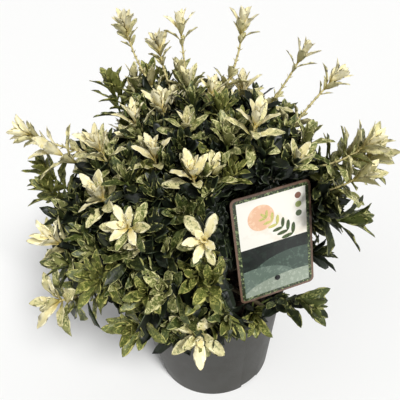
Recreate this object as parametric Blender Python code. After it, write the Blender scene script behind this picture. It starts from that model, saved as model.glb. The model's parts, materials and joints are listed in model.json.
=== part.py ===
"""A potted Japanese spindle: a dense, variegated evergreen shrub in a round nursery pot.

Metres, +Z up. The origin is the centre of the pot's flat underside, and -Y is the front.
A short knuckled stem stands in the potting mix. Boughs leave it in three tiers and from its
top, and each bough carries one mass: a small core, with leaves and leafy twigs that stand
out of it. A twig or leaf that would touch anything else is made smaller, or skipped.
"""

import math
import random
from dataclasses import dataclass

import bmesh
import bpy
from mathutils import Matrix, Vector
from mathutils.bvhtree import BVHTree

# Space left between solids that touch, and wider space kept round leaves and twigs
CLEAR = 0.0003
LEAF_ROOM = 0.0008
TWIG_ROOM = 0.0012

# Pot, a three-litre container
POT_HEIGHT = 0.145
POT_RIM_RADIUS = 0.095
POT_BASE_RADIUS = 0.074
POT_WALL = 0.0022
POT_FLOOR = 0.003
POT_LIP_OUT = 0.0022
POT_LIP_TALL = 0.005
POT_SIDES = 36
POT_EDGE = 0.003
SLOT_COUNT = 3
SLOT_FIRST = 35.0
SLOT_WIDE = 0.027
SLOT_TALL = 0.0045
SLOT_DEEP = 0.006
DRAIN_COUNT = 6
DRAIN_RADIUS = 0.005
DRAIN_RING = 0.042
POT_SLOPE = (POT_RIM_RADIUS - POT_BASE_RADIUS) / POT_HEIGHT
HOLE_SIDES = 10

# Potting mix
SOIL_TOP = 0.127
SOIL_SIDES = 28
SOIL_LUMP = 0.0016
SOIL_FLAT_SHARE = 0.3
SOIL_LUMPY_SHARES = (0.52, 0.78)

# Stem: a root flare under a knuckle that the boughs are seated on. Each level of the flare
# is a share of its height, a share of its radius, and how deep its ridges are
FLARE_RADIUS = 0.021
FLARE_TALL = 0.014
FLARE_RIDGES = 5
FLARE_LEVELS = ((0.0, 1.0, 0.16), (0.35, 0.78, 0.10))
KNUCKLE_RADIUS = 0.012
KNUCKLE_TOP = 0.182
KNUCKLE_SIDES = 16

# Crown: an ellipsoid round its heart, where the shoots' stems end
HEART = Vector((0.0, 0.0, 0.24))
SPREAD = 0.160
RISE = 0.140
DIP = 0.14
DIP_FROM, DIP_FULL = 70.0, 100.0
LEAN_MOST = 112.0
SHOOT_COUNT = 69
SHOOT_SEED = 11
SHOOT_JITTER = 6.0
REACH_LOW, REACH_HIGH = 0.92, 1.03
SHOOT_APART = 0.027
UPRIGHT_SHARE = 0.55
GOLDEN_TURN = 180.0 * (3.0 - math.sqrt(5.0))

# Shoots that stand out of the crown: turn from the front towards the right, lean from
# upright, and reach from the heart to where the stem ends
LEADERS = (
    (-135, 23, 0.206),
    (-158, 23, 0.176),
    (178, 19, 0.194),
    (138, 24, 0.202),
    (110, 38, 0.195),
    (101, 47, 0.196),
    (86, 64, 0.192),
    (77, 74, 0.190),
    (95, 72, 0.184),
    (-93, 55, 0.196),
    (-80, 50, 0.172),
    (-89, 65, 0.178),
    (-76, 73, 0.172),
    (-58, 38, 0.162),
    (-122, 37, 0.164),
    (-23, 57, 0.176),
    (-60, 75, 0.178),
    (-50, 92, 0.180),
    (-50, 106, 0.176),
    (-24, 98, 0.168),
    (-2, 106, 0.150),
    (37, 108, 0.146),
    (0, 61, 0.170),
    (40, 31, 0.162),
    (71, 82, 0.158),
    (69, 101, 0.156),
)

# Masses in rings round the heart: how many, their lean, and the first and last turn
MASS_RINGS = (
    (3, 17.0, 60.0, 300.0),
    (6, 50.0, 78.0, 364.0),
    (8, 80.0, 2.0, 317.0),
    (7, 108.0, 75.0, 339.0),
)
MASS_SHARE = 0.62
CORE_RADIUS = 0.019
CORE_LUMP = 0.18
CORE_SEED = 5
CORE_LEAF_RINGS = ((84.0, 5), (38.0, 2))
CORE_LEAF_OUT = 0.4
CORE_LEAF_SIZE = 1.15
CORE_LEAF_ROOT = 0.45

# The small mass that grows out over the rim under the label
LOW_MASS_TURN = 37.0
LOW_MASS_AWAY = 0.113
LOW_MASS_HEIGHT = 0.164
LOW_CORE_RADIUS = 0.008

# Boughs, seated on the knuckle in tiers for the lower rings and on its top for the first
TIER_HEIGHTS = (None, 0.1705, 0.160, 0.150)
BOUGH_ROOT_RADIUS = 0.0034
BOUGH_TIP_RADIUS = 0.0026
TOP_SEAT_RING = 0.0066
BOUGH_SIDES = 6
BOUGH_STEPS = 3
BOUGH_OUT = 0.35
STEM_LENGTH = 0.007
STEM_RADIUS = 0.0024
STEM_SIDES = 5

# Twigs, and the leaves in opposite pairs near their tips
TWIG_ROOT_RADIUS = 0.0017
TWIG_TIP_RADIUS = 0.0009
TWIG_STEPS = 2
TWIG_ROOT_SHARE = 0.35
TWIG_BEND_BACK = 0.45
LEAF_LENGTH = 0.042
LEAF_WIDE = 0.0165
LEAF_THICK = 0.0012
LEAF_WIDEST = 0.55
LEAF_SINK = 0.0007
LEAF_SHRINK = (1.0, 0.8, 0.62)
LEAF_TURNS = (0.0, 30.0, 60.0)


@dataclass
class LeafPair:
    """Two opposite leaves: how far behind the tip, their spread in degrees, and their size."""

    back: float
    spread: float
    size: float


LEAF_PAIRS = (
    LeafPair(0.0, 20.0, 0.88),
    LeafPair(0.008, 42.0, 1.0),
    LeafPair(0.018, 66.0, 0.95),
)

# Label: a card on a stick that stands in the mix
LABEL_CENTRE = Vector((0.074, -0.053, 0.229))
LABEL_TURN = 17.0
LABEL_TIP_BACK = 8.5
LABEL_ROLL = 0.6
LABEL_WIDE = 0.090
LABEL_TALL = 0.130
LABEL_THICK = 0.0012
LABEL_CORNER = 0.006
LABEL_CORNER_STEPS = 4
LABEL_HOLE_RADIUS = 0.0024
LABEL_HOLE_REACH = 0.004
LABEL_HOLE_UP = -0.0435
LABEL_SIDE_ROOM = 0.002
LABEL_BACK_ROOM = 0.003
LABEL_SIGHT = Vector((-0.02, -0.10, 0.08))
LABEL_TO_CORE = 0.007
LABEL_TO_STEM = 0.010
STICK_WIDE = 0.005
STICK_THICK = 0.0022
STICK_ABOVE_HOLE = 0.006
STICK_BEND_UP = -0.047
STICK_FOOT = Vector((0.052, -0.044, 0.085))
PEG_PROUD = 0.0008

COLOURS = {
    "grey_plastic": ((0.105, 0.105, 0.10), 0.55),
    "potting_mix": ((0.022, 0.016, 0.011), 0.95),
    "bark": ((0.16, 0.12, 0.075), 0.85),
    "label_card": ((0.17, 0.12, 0.09), 0.35),
    "stick_plastic": ((0.012, 0.012, 0.013), 0.5),
    "variegated_leaf": ((0.36, 0.40, 0.14), 0.45),
}


@dataclass
class Mass:
    """Where one mass grows: its ring, its turn from the front, its middle and its core."""

    ring: int
    turn: float
    middle: Vector
    core: float


@dataclass
class Shoot:
    """Where a leafy shoot's stem ends, and its direction there."""

    tip: Vector
    way: Vector


def material(name):
    """The Principled material of that name, made once."""
    found = bpy.data.materials.get(name)
    if found:
        return found
    colour, roughness = COLOURS[name]
    made = bpy.data.materials.new(name)
    made.use_nodes = True
    shader = made.node_tree.nodes["Principled BSDF"]
    shader.inputs["Base Color"].default_value = (*colour, 1.0)
    shader.inputs["Roughness"].default_value = roughness
    shader.inputs["Metallic"].default_value = 0.0
    return made


def add_object(name, points, faces, finish):
    """A scene object from points and faces, with its material and its normals outwards."""
    mesh = bpy.data.meshes.new(name)
    mesh.from_pydata([tuple(point) for point in points], [], faces)
    shape = bmesh.new()
    shape.from_mesh(mesh)
    bmesh.ops.recalc_face_normals(shape, faces=shape.faces)
    shape.to_mesh(mesh)
    shape.free()
    mesh.materials.append(material(finish))
    made = bpy.data.objects.new(name, mesh)
    bpy.context.scene.collection.objects.link(made)
    return made


def smooth(obj, angle=35.0):
    """Shades a round piece smooth, with its real edges kept sharp."""
    obj.data.shade_smooth()
    obj.data.set_sharp_from_angle(angle=math.radians(angle))


def combine(body, others, operation):
    """Joins the others to the body, or cuts them from it, and removes them."""
    group = bpy.data.collections.new("operands")
    bpy.context.scene.collection.children.link(group)
    for other in others:
        group.objects.link(other)
    boolean = body.modifiers.new("Combine", "BOOLEAN")
    boolean.operation = operation
    boolean.operand_type = "COLLECTION"
    boolean.collection = group
    boolean.solver = "EXACT"
    graph = bpy.context.evaluated_depsgraph_get()
    mesh = bpy.data.meshes.new_from_object(body.evaluated_get(graph))
    body.modifiers.clear()
    body.data = mesh
    for other in others:
        bpy.data.objects.remove(other)
    bpy.data.collections.remove(group)


def joined_rings(rings):
    """The points and faces of a closed skin over rings that have as many points each."""
    sides = len(rings[0])
    points = [point for ring in rings for point in ring]
    faces = [tuple(reversed(range(sides)))]
    for k in range(len(rings) - 1):
        low = k * sides
        for side in range(sides):
            after = (side + 1) % sides
            faces.append((low + side, low + after, low + sides + after, low + sides + side))
    faces.append(tuple(range(len(points) - sides, len(points))))
    return points, faces


def turned(outline, sides):
    """A solid of revolution about Z, from an outline that starts and ends on the axis."""
    points = [Vector((0.0, 0.0, outline[0][1]))]
    for radius, height in outline[1:-1]:
        for k in range(sides):
            turn = 2 * math.pi * k / sides
            points.append(Vector((radius * math.cos(turn), radius * math.sin(turn), height)))
    points.append(Vector((0.0, 0.0, outline[-1][1])))
    faces = []
    last = len(points) - 1
    for side in range(sides):
        after = (side + 1) % sides
        faces.append((0, 1 + side, 1 + after))
        for ring in range(len(outline) - 3):
            low = 1 + ring * sides
            faces.append((low + side, low + sides + side, low + sides + after, low + after))
        faces.append((last, last - sides + after, last - sides + side))
    return points, faces


def tube(line, radii, sides, start_way=None):
    """A closed tapering tube along a line of points, its first end cut square to start_way."""
    rings = []
    across = None
    for index, (point, radius) in enumerate(zip(line, radii)):
        before = line[max(index - 1, 0)]
        after = line[min(index + 1, len(line) - 1)]
        way = (after - before).normalized()
        if index == 0 and start_way:
            way = start_way
        if across is None:
            across = way.orthogonal()
        across = (across - way * across.dot(way)).normalized()
        beside = way.cross(across)
        rings.append(
            [
                point + (across * math.cos(turn) + beside * math.sin(turn)) * radius
                for turn in (2 * math.pi * k / sides for k in range(sides))
            ]
        )
    return joined_rings(rings)


def bent(start, middle, end, steps):
    """Points along a quadratic curve from start to end, pulled towards middle."""
    found = []
    for k in range(steps + 1):
        t = k / steps
        found.append(start * (1 - t) ** 2 + middle * 2 * t * (1 - t) + end * t**2)
    return found


def bearing(turn, lean):
    """The unit vector at a turn from the front (-Y) towards +X, and a lean from upright."""
    turn, lean = math.radians(turn), math.radians(lean)
    level = math.sin(lean)
    return Vector((level * math.sin(turn), -level * math.cos(turn), math.cos(lean)))


def label_matrix():
    """The label's pose: its own X is along its width, Z up its height, -Y out of its face."""
    return (
        Matrix.Translation(LABEL_CENTRE)
        @ Matrix.Rotation(math.radians(LABEL_TURN), 4, "Z")
        @ Matrix.Rotation(math.radians(-LABEL_TIP_BACK), 4, "X")
        @ Matrix.Rotation(math.radians(-LABEL_ROLL), 4, "Y")
    )


def label_away(way):
    """How far the label is from the heart in that direction, infinite where it is not."""
    to_label = label_matrix().inverted()
    start = to_label @ HEART
    local = to_label.to_3x3() @ way
    if local.y >= 0:
        return math.inf
    away = -start.y / local.y
    hit = start + local * away
    wide = LABEL_WIDE / 2 + LABEL_TO_STEM
    tall = LABEL_TALL / 2 + LABEL_TO_STEM
    return away if abs(hit.x) < wide and abs(hit.z) < tall else math.inf


def crown_reach(turn, lean):
    """How far the shoots' stems reach from the heart that way: less low on the right."""
    level = math.sin(math.radians(lean)) / SPREAD
    up = math.cos(math.radians(lean)) / RISE
    right = max(0.0, math.sin(math.radians(turn)))
    low = min(1.0, max(0.0, (lean - DIP_FROM) / (DIP_FULL - DIP_FROM)))
    return (1.0 - DIP * right * low) / math.hypot(level, up)


def all_masses():
    """Every mass, from the top ring to the lowest, and the small one under the label."""
    found = []
    for ring, (count, lean, first, last) in enumerate(MASS_RINGS):
        for k in range(count):
            turn = first + (last - first) * k / (count - 1)
            way = bearing(turn, lean)
            before_label = label_away(way) - CORE_RADIUS - LABEL_TO_CORE
            away = min(crown_reach(turn, lean) * MASS_SHARE, before_label)
            found.append(Mass(ring, turn, HEART + way * away, CORE_RADIUS))
    low = bearing(LOW_MASS_TURN, 90.0) * LOW_MASS_AWAY + Vector((0, 0, LOW_MASS_HEIGHT))
    found.append(Mass(len(MASS_RINGS) - 1, LOW_MASS_TURN, low, LOW_CORE_RADIUS))
    return found


def seat_way(mass):
    """The direction square to a bough's seat: up from the knuckle's top, or out of its side."""
    if TIER_HEIGHTS[mass.ring] is None:
        return Vector((0.0, 0.0, 1.0))
    return bearing(mass.turn, 90.0)


def bough_path(mass):
    """A bough's middle line, from its seat on the knuckle to its tip short of the core."""
    first = seat_way(mass)
    if TIER_HEIGHTS[mass.ring] is None:
        start = bearing(mass.turn, 90.0) * TOP_SEAT_RING
        start.z = KNUCKLE_TOP + CLEAR
    else:
        start = first * (KNUCKLE_RADIUS + CLEAR)
        start.z = TIER_HEIGHTS[mass.ring]
    bend = start + first * (mass.middle - start).length * BOUGH_OUT
    tip = mass.middle - (mass.middle - bend).normalized() * (mass.core + STEM_LENGTH)
    return bent(start, bend, tip, BOUGH_STEPS)


def all_shoots():
    """The leaders, then shoots spread evenly over the crown where there is still room."""
    draw = random.Random(SHOOT_SEED)
    places = list(LEADERS)
    for k in range(SHOOT_COUNT):
        level = 1 - (k + 0.5) / SHOOT_COUNT * (1 - math.cos(math.radians(LEAN_MOST)))
        jitter = draw.uniform(-SHOOT_JITTER, SHOOT_JITTER)
        lean = abs(math.degrees(math.acos(level)) + jitter)
        turn = k * GOLDEN_TURN + draw.uniform(-SHOOT_JITTER, SHOOT_JITTER)
        reach = crown_reach(turn, lean) * draw.uniform(REACH_LOW, REACH_HIGH)
        before_label = label_away(bearing(turn, lean)) - LABEL_TO_STEM
        places.append((turn, lean, min(reach, before_label)))
    found = []
    for turn, lean, reach in places:
        tip = HEART + bearing(turn, lean) * reach
        if all((tip - other.tip).length > SHOOT_APART for other in found):
            share = UPRIGHT_SHARE + (1.0 - UPRIGHT_SHARE) * (lean / LEAN_MOST) ** 2
            found.append(Shoot(tip, bearing(turn, lean * share)))
    return found


class Taken:
    """What stands in the crown's space already, to test each new piece against."""

    def __init__(self):
        self.pieces = []

    def add(self, shape, mass=None, branch=None):
        """Adds a piece of a mass's branch, or one that belongs to no mass."""
        points, faces = shape
        middle = sum(points, Vector()) / len(points)
        reach = max((point - middle).length for point in points)
        tree = BVHTree.FromPolygons(points, faces)
        self.pieces.append((tree, middle, reach, mass, branch))

    def clashes(self, shape, may_touch):
        """True if the shape meets a piece, other than those that may_touch lets it meet."""
        points, faces = shape
        middle = sum(points, Vector()) / len(points)
        reach = max((point - middle).length for point in points)
        tree = BVHTree.FromPolygons(points, faces)
        for other, other_middle, other_reach, mass, branch in self.pieces:
            if may_touch(mass, branch):
                continue
            if (other_middle - middle).length < other_reach + reach and tree.overlap(other):
                return True
        return False


def pot_shape():
    """The turned pot: its walls, floor, rolled lip and eased foot."""

    def outer(height):
        return POT_BASE_RADIUS + POT_SLOPE * height

    under_lip = POT_HEIGHT - POT_LIP_TALL
    ease = POT_EDGE / 3
    outline = [
        (0.0, POT_FLOOR),
        (outer(POT_FLOOR) - POT_WALL, POT_FLOOR),
        (outer(POT_HEIGHT) - POT_WALL, POT_HEIGHT - ease),
        (outer(POT_HEIGHT) - POT_WALL + ease, POT_HEIGHT),
        (outer(POT_HEIGHT) + POT_LIP_OUT - ease, POT_HEIGHT),
        (outer(POT_HEIGHT) + POT_LIP_OUT, POT_HEIGHT - ease),
        (outer(under_lip) + POT_LIP_OUT, under_lip),
        (outer(under_lip - ease), under_lip - ease),
        (outer(POT_EDGE), POT_EDGE),
        (outer(0.0) - ease, ease),
        (outer(0.0) - POT_EDGE, 0.0),
        (0.0, 0.0),
    ]
    return turned(outline, POT_SIDES)


def build_pot(shape):
    """The pot, with the slots in its lower edge and the drain holes in its floor."""
    pot = add_object("pot", *shape, "grey_plastic")
    cutters = []
    for k in range(SLOT_COUNT):
        way = bearing(SLOT_FIRST + 360.0 * k / SLOT_COUNT, 90.0)
        side = Vector((-way.y, way.x, 0.0)) * SLOT_WIDE / 2
        up = Vector((0.0, 0.0, SLOT_TALL))
        rings = [
            [way * away + side * a + up * b for a, b in ((-1, -1), (1, -1), (1, 1), (-1, 1))]
            for away in (POT_BASE_RADIUS - SLOT_DEEP, POT_BASE_RADIUS + SLOT_DEEP)
        ]
        cutters.append(add_object(f"slot_cutter_{k}", *joined_rings(rings), "grey_plastic"))
    for k in range(DRAIN_COUNT):
        foot = bearing(360.0 * (k + 0.5) / DRAIN_COUNT, 90.0) * DRAIN_RING
        line = [foot + Vector((0.0, 0.0, z)) for z in (-POT_FLOOR, 2 * POT_FLOOR)]
        drain = tube(line, [DRAIN_RADIUS] * 2, HOLE_SIDES)
        cutters.append(add_object(f"drain_cutter_{k}", *drain, "grey_plastic"))
    combine(pot, cutters, "DIFFERENCE")
    smooth(pot)


def soil_shape():
    """The potting mix: a plug with an uneven top, flat where the stem stands."""
    inner = POT_BASE_RADIUS - POT_WALL - CLEAR * 2
    low = POT_FLOOR + CLEAR
    edge = inner + POT_SLOPE * SOIL_TOP
    flat = edge * SOIL_FLAT_SHARE
    outline = [
        (0.0, SOIL_TOP),
        (flat, SOIL_TOP),
        *((edge * share, SOIL_TOP) for share in SOIL_LUMPY_SHARES),
        (edge, SOIL_TOP - SOIL_LUMP),
        (inner + POT_SLOPE * low, low),
        (0.0, low),
    ]
    points, faces = turned(outline, SOIL_SIDES)
    draw = random.Random(CORE_SEED)
    for point in points:
        away = math.hypot(point.x, point.y)
        if point.z > SOIL_TOP - SOIL_LUMP / 2 and away > flat + SOIL_LUMP:
            point.z += draw.uniform(-SOIL_LUMP, SOIL_LUMP)
    return points, faces


def build_soil(shape):
    """The potting mix, with a pocket where the label's stick stands in it."""
    soil = add_object("potting_mix", *shape, "potting_mix")
    pocket = add_object("pocket_cutter", *stick_shape(CLEAR), "stick_plastic")
    combine(soil, [pocket], "DIFFERENCE")


def stick_shape(grow):
    """The label's stick: a bar down the card's back to its foot in the mix, grown all round."""
    pose = label_matrix()
    behind = LABEL_THICK / 2 + CLEAR + STICK_THICK / 2
    top = pose @ Vector((0.0, behind, LABEL_HOLE_UP + STICK_ABOVE_HOLE))
    bend = pose @ Vector((0.0, behind, STICK_BEND_UP))
    side = pose.to_3x3() @ Vector((1.0, 0.0, 0.0))
    line = [top, bend, STICK_FOOT + (STICK_FOOT - bend).normalized() * grow]
    rings = []
    for index, point in enumerate(line):
        way = (line[min(index + 1, 2)] - line[max(index - 1, 0)]).normalized()
        across = (side - way * side.dot(way)).normalized()
        through = way.cross(across) * (STICK_THICK / 2 + grow)
        across = across * (STICK_WIDE / 2 + grow)
        corners = ((-1, -1), (1, -1), (1, 1), (-1, 1))
        rings.append([point + across * a + through * b for a, b in corners])
    return joined_rings(rings)


def card_shape():
    """The label's card, with round corners."""
    outline = []
    middle_x = LABEL_WIDE / 2 - LABEL_CORNER
    middle_z = LABEL_TALL / 2 - LABEL_CORNER
    for quarter, (side, up) in enumerate(((1, 1), (-1, 1), (-1, -1), (1, -1))):
        for k in range(LABEL_CORNER_STEPS + 1):
            turn = math.pi / 2 * (quarter + k / LABEL_CORNER_STEPS)
            x = side * middle_x + LABEL_CORNER * math.cos(turn)
            z = up * middle_z + LABEL_CORNER * math.sin(turn)
            outline.append((x, z))
    pose = label_matrix()
    rings = [
        [pose @ Vector((x, y, z)) for x, z in outline]
        for y in (-LABEL_THICK / 2, LABEL_THICK / 2)
    ]
    return joined_rings(rings)


def sight_shape():
    """The space at and before the label, which foliage leaves open to the front."""
    pose = label_matrix()
    wide = LABEL_WIDE / 2 + LABEL_SIDE_ROOM
    tall = LABEL_TALL / 2 + LABEL_SIDE_ROOM
    back = [
        pose @ Vector((a * wide, LABEL_BACK_ROOM, b * tall))
        for a, b in ((-1, -1), (1, -1), (1, 1), (-1, 1))
    ]
    return joined_rings([back, [corner + LABEL_SIGHT for corner in back]])


def build_label():
    """The card with its hole, and the stick whose peg fills the hole."""
    pose = label_matrix()
    card = add_object("label_card", *card_shape(), "label_card")
    ends = [
        pose @ Vector((0.0, y, LABEL_HOLE_UP)) for y in (-LABEL_HOLE_REACH, LABEL_HOLE_REACH)
    ]
    hole_shape = tube(ends, [LABEL_HOLE_RADIUS] * 2, HOLE_SIDES)
    hole = add_object("hole_cutter", *hole_shape, "label_card")
    combine(card, [hole], "DIFFERENCE")

    stick = add_object("label_stick", *stick_shape(0.0), "stick_plastic")
    inside = LABEL_THICK / 2 + CLEAR + STICK_THICK / 2
    proud = -LABEL_THICK / 2 - PEG_PROUD
    line = [pose @ Vector((0.0, y, LABEL_HOLE_UP)) for y in (inside, proud)]
    peg = tube(line, [LABEL_HOLE_RADIUS - CLEAR] * 2, HOLE_SIDES)
    combine(stick, [add_object("peg", *peg, "stick_plastic")], "UNION")


def stem_shape():
    """The short stem: a flared and ridged foot, cut flat on the mix, under the knuckle."""
    foot = SOIL_TOP + CLEAR
    levels = [
        (foot + FLARE_TALL * up, FLARE_RADIUS * share, ridge) for up, share, ridge in FLARE_LEVELS
    ]
    levels += [(foot + FLARE_TALL, KNUCKLE_RADIUS, 0.0), (KNUCKLE_TOP, KNUCKLE_RADIUS, 0.0)]
    rings = []
    for height, radius, ridge in levels:
        ring = []
        for k in range(KNUCKLE_SIDES):
            turn = 360.0 * (k + 0.5) / KNUCKLE_SIDES
            dip = ridge * (0.5 + 0.5 * math.cos(math.radians(FLARE_RIDGES * turn)))
            ring.append(bearing(turn, 90.0) * radius * (1 - dip) + Vector((0, 0, height)))
        rings.append(ring)
    return joined_rings(rings)


def bough_shape(mass, path, room=0.0):
    """One tapering bough along its path, with room to spare round it."""
    last = len(path) - 1
    fall = BOUGH_ROOT_RADIUS - BOUGH_TIP_RADIUS
    radii = [BOUGH_ROOT_RADIUS - fall * k / last + room for k in range(last + 1)]
    return tube(path, radii, BOUGH_SIDES, seat_way(mass))


def leaf_shape(base, way, facing, size, room=0.0):
    """A leaf as a thin eight-faced solid, with room to spare round it."""
    length = LEAF_LENGTH * size
    side = way.cross(facing).normalized()
    up = side.cross(way).normalized() * (LEAF_THICK / 2 + room)
    middle = base + way * length * LEAF_WIDEST
    half = side * (LEAF_WIDE * size / 2 + room)
    tip = base + way * (length + room)
    points = [base, tip, middle + half, middle - half, middle + up, middle - up]
    faces = []
    for face in (4, 5):
        for start, end in ((0, 2), (2, 1), (1, 3), (3, 0)):
            faces.append((start, end, face))
    return points, faces


def largest_leaf(taken, mass, branch, base, way, facing, size):
    """The largest leaf that has room there, with its size, or none."""

    def may_touch(other_mass, other_branch):
        return other_mass == mass and other_branch in (None, branch)

    for shrink in LEAF_SHRINK:
        roomy = leaf_shape(base, way, facing, size * shrink, LEAF_ROOM)
        if not taken.clashes(roomy, may_touch):
            return leaf_shape(base, way, facing, size * shrink), size * shrink
    return None, 0.0


def leaves_on_twig(taken, mass, branch, line, first_turn):
    """The pairs of leaves near a twig's tip, and their sizes added up."""
    way = (line[-1] - line[-2]).normalized()
    across = way.orthogonal().normalized()
    beside = way.cross(across)
    found = []
    total = 0.0
    for index, pair in enumerate(LEAF_PAIRS):
        base = line[-1] - way * (pair.back + LEAF_SINK)
        spread = math.radians(pair.spread)
        for side in range(2):
            turn = math.radians(first_turn + 90.0 * index + 180.0 * side)
            out = across * math.cos(turn) + beside * math.sin(turn)
            along = way * math.cos(spread) + out * math.sin(spread)
            facing = way * math.sin(spread) - out * math.cos(spread)
            leaf, size = largest_leaf(taken, mass, branch, base, along, facing, pair.size)
            if leaf:
                found.append(leaf)
                total += size
    return total, found


def leaves_on_core(taken, index, mass):
    """Leaves in rings that stand out of a core's outer side, where there is room."""
    out = (mass.middle - HEART).normalized()
    across = out.orthogonal().normalized()
    beside = out.cross(across)
    found = []
    for ring, (lean, count) in enumerate(CORE_LEAF_RINGS):
        for k in range(count):
            turn = 2 * math.pi * (k + 0.5 * ring) / count
            side = across * math.cos(turn) + beside * math.sin(turn)
            normal = out * math.cos(math.radians(lean)) + side * math.sin(math.radians(lean))
            base = mass.middle + normal * mass.core * CORE_LEAF_ROOT
            way = (normal + out * CORE_LEAF_OUT).normalized()
            facing = way.cross(out.cross(side))
            branch = f"core {ring} {k}"
            leaf, size = largest_leaf(
                taken, index, branch, base, way, facing, CORE_LEAF_SIZE
            )
            if leaf:
                taken.add(leaf, index, branch)
                found.append(leaf)
    return found


def twig_line(mass, shoot):
    """A twig's middle line, from within the core to its tip, which it leaves along its way."""
    stretch = shoot.tip - mass.middle
    root = mass.middle + stretch.normalized() * mass.core * TWIG_ROOT_SHARE
    bend = shoot.tip - shoot.way * stretch.length * TWIG_BEND_BACK
    return bent(root, bend, shoot.tip, TWIG_STEPS)


def twig_shape(line, room=0.0):
    """A three-sided twig along its line, with room to spare round it."""
    middle = (TWIG_ROOT_RADIUS + TWIG_TIP_RADIUS) / 2
    radii = [radius + room for radius in (TWIG_ROOT_RADIUS, middle, TWIG_TIP_RADIUS)]
    return tube(line, radii, 3)


def core_shape(mass, seed):
    """The points and faces of a lumpy core."""
    draw = random.Random(seed)
    shape = bmesh.new()
    bmesh.ops.create_icosphere(shape, subdivisions=1, radius=mass.core)
    points = [
        mass.middle + vertex.co * (1.0 - CORE_LUMP * draw.random()) for vertex in shape.verts
    ]
    faces = [tuple(vertex.index for vertex in face.verts) for face in shape.faces]
    shape.free()
    return points, faces


def mass_stem_shape(mass, path):
    """The stem by which a mass meets its bough's tip, which ends within the core."""
    way = (path[-1] - path[-2]).normalized()
    line = [path[-1] + way * CLEAR, mass.middle]
    return tube(line, [STEM_RADIUS] * 2, STEM_SIDES, way)


def grow_masses(taken, masses, paths):
    """The pieces of each mass: its core, stem, twigs and leaves, the twigs placed first."""
    grown = []
    for index, (mass, path) in enumerate(zip(masses, paths)):
        core = core_shape(mass, CORE_SEED + index)
        stem = mass_stem_shape(mass, path)
        taken.add(core, index)
        taken.add(stem, index)
        grown.append([core, stem])
    twigs = []
    for branch, shoot in enumerate(all_shoots()):
        index = min(
            range(len(masses)), key=lambda k: (masses[k].middle - shoot.tip).length
        )
        line = twig_line(masses[index], shoot)
        if not taken.clashes(twig_shape(line, TWIG_ROOM), lambda m, b: m == index):
            taken.add(twig_shape(line), index, branch)
            grown[index].append(twig_shape(line))
            twigs.append((index, branch, line))
    for index, branch, line in twigs:
        tries = [leaves_on_twig(taken, index, branch, line, turn) for turn in LEAF_TURNS]
        leaves = max(tries, key=lambda found: found[0])[1]
        for leaf in leaves:
            taken.add(leaf, index, branch)
        grown[index] += leaves
    for index, mass in enumerate(masses):
        grown[index] += leaves_on_core(taken, index, mass)
    return grown


def keep_main_body(obj):
    """Keeps a union's largest body, drops loose scraps, and tells whether it is closed."""
    shape = bmesh.new()
    shape.from_mesh(obj.data)
    left = set(shape.faces)
    bodies = []
    while left:
        found = [left.pop()]
        for face in found:
            for other in (f for edge in face.edges for f in edge.link_faces):
                if other in left:
                    left.remove(other)
                    found.append(other)
        bodies.append(found)
    bodies.sort(key=len)
    scraps = [face for body in bodies[:-1] for face in body]
    bmesh.ops.delete(shape, geom=scraps, context="FACES")
    closed = all(len(edge.link_faces) == 2 for edge in shape.edges)
    shape.to_mesh(obj.data)
    shape.free()
    return closed


def build_mass(name, pieces):
    """Fuses a mass's pieces into one body, without its last leaves for as long as that fails."""
    while True:
        body, *others = [
            add_object(f"{name}_piece_{k}", *piece, "variegated_leaf")
            for k, piece in enumerate(pieces)
        ]
        combine(body, others, "UNION")
        if keep_main_body(body):
            body.name = name
            return
        bpy.data.objects.remove(body)
        pieces = pieces[:-1]


def main():
    """Clears the scene and builds the whole plant in its pot."""
    for obj in list(bpy.data.objects):
        bpy.data.objects.remove(obj)
    pot = pot_shape()
    soil = soil_shape()
    build_pot(pot)
    build_soil(soil)
    build_label()
    smooth(add_object("main_stem", *stem_shape(), "bark"))
    masses = all_masses()
    paths = [bough_path(mass) for mass in masses]
    taken = Taken()
    for shape in (pot, soil, stick_shape(TWIG_ROOM), sight_shape(), stem_shape()):
        taken.add(shape)
    for number, (mass, path) in enumerate(zip(masses, paths), 1):
        taken.add(bough_shape(mass, path, LEAF_ROOM))
        smooth(add_object(f"bough_{number:02d}", *bough_shape(mass, path), "bark"))
    for number, pieces in enumerate(grow_masses(taken, masses, paths), 1):
        build_mass(f"foliage_{number:02d}", pieces)


main()
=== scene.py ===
"""Looks of a potted Japanese spindle: pot, potting mix, label, wood, twigs and leaves.

Metres, +Z up, with the origin at the centre of the pot's flat underside and -Y the front.
The crown grows by the same rule and the same sizes as the solids, carried to finer shoots.
"""

import json
import logging
import math
import random
from collections import defaultdict
from collections.abc import Callable, Iterable
from dataclasses import dataclass
from enum import Enum
from functools import partial
from itertools import pairwise, product, starmap

import bmesh
import bpy
import numpy as np
from bpy.types import ID, Material, Node, NodeSocket, NodeTree, Object
from mathutils import Matrix, Quaternion, Vector
from mathutils.bvhtree import BVHTree
from mathutils.geometry import normal

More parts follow.
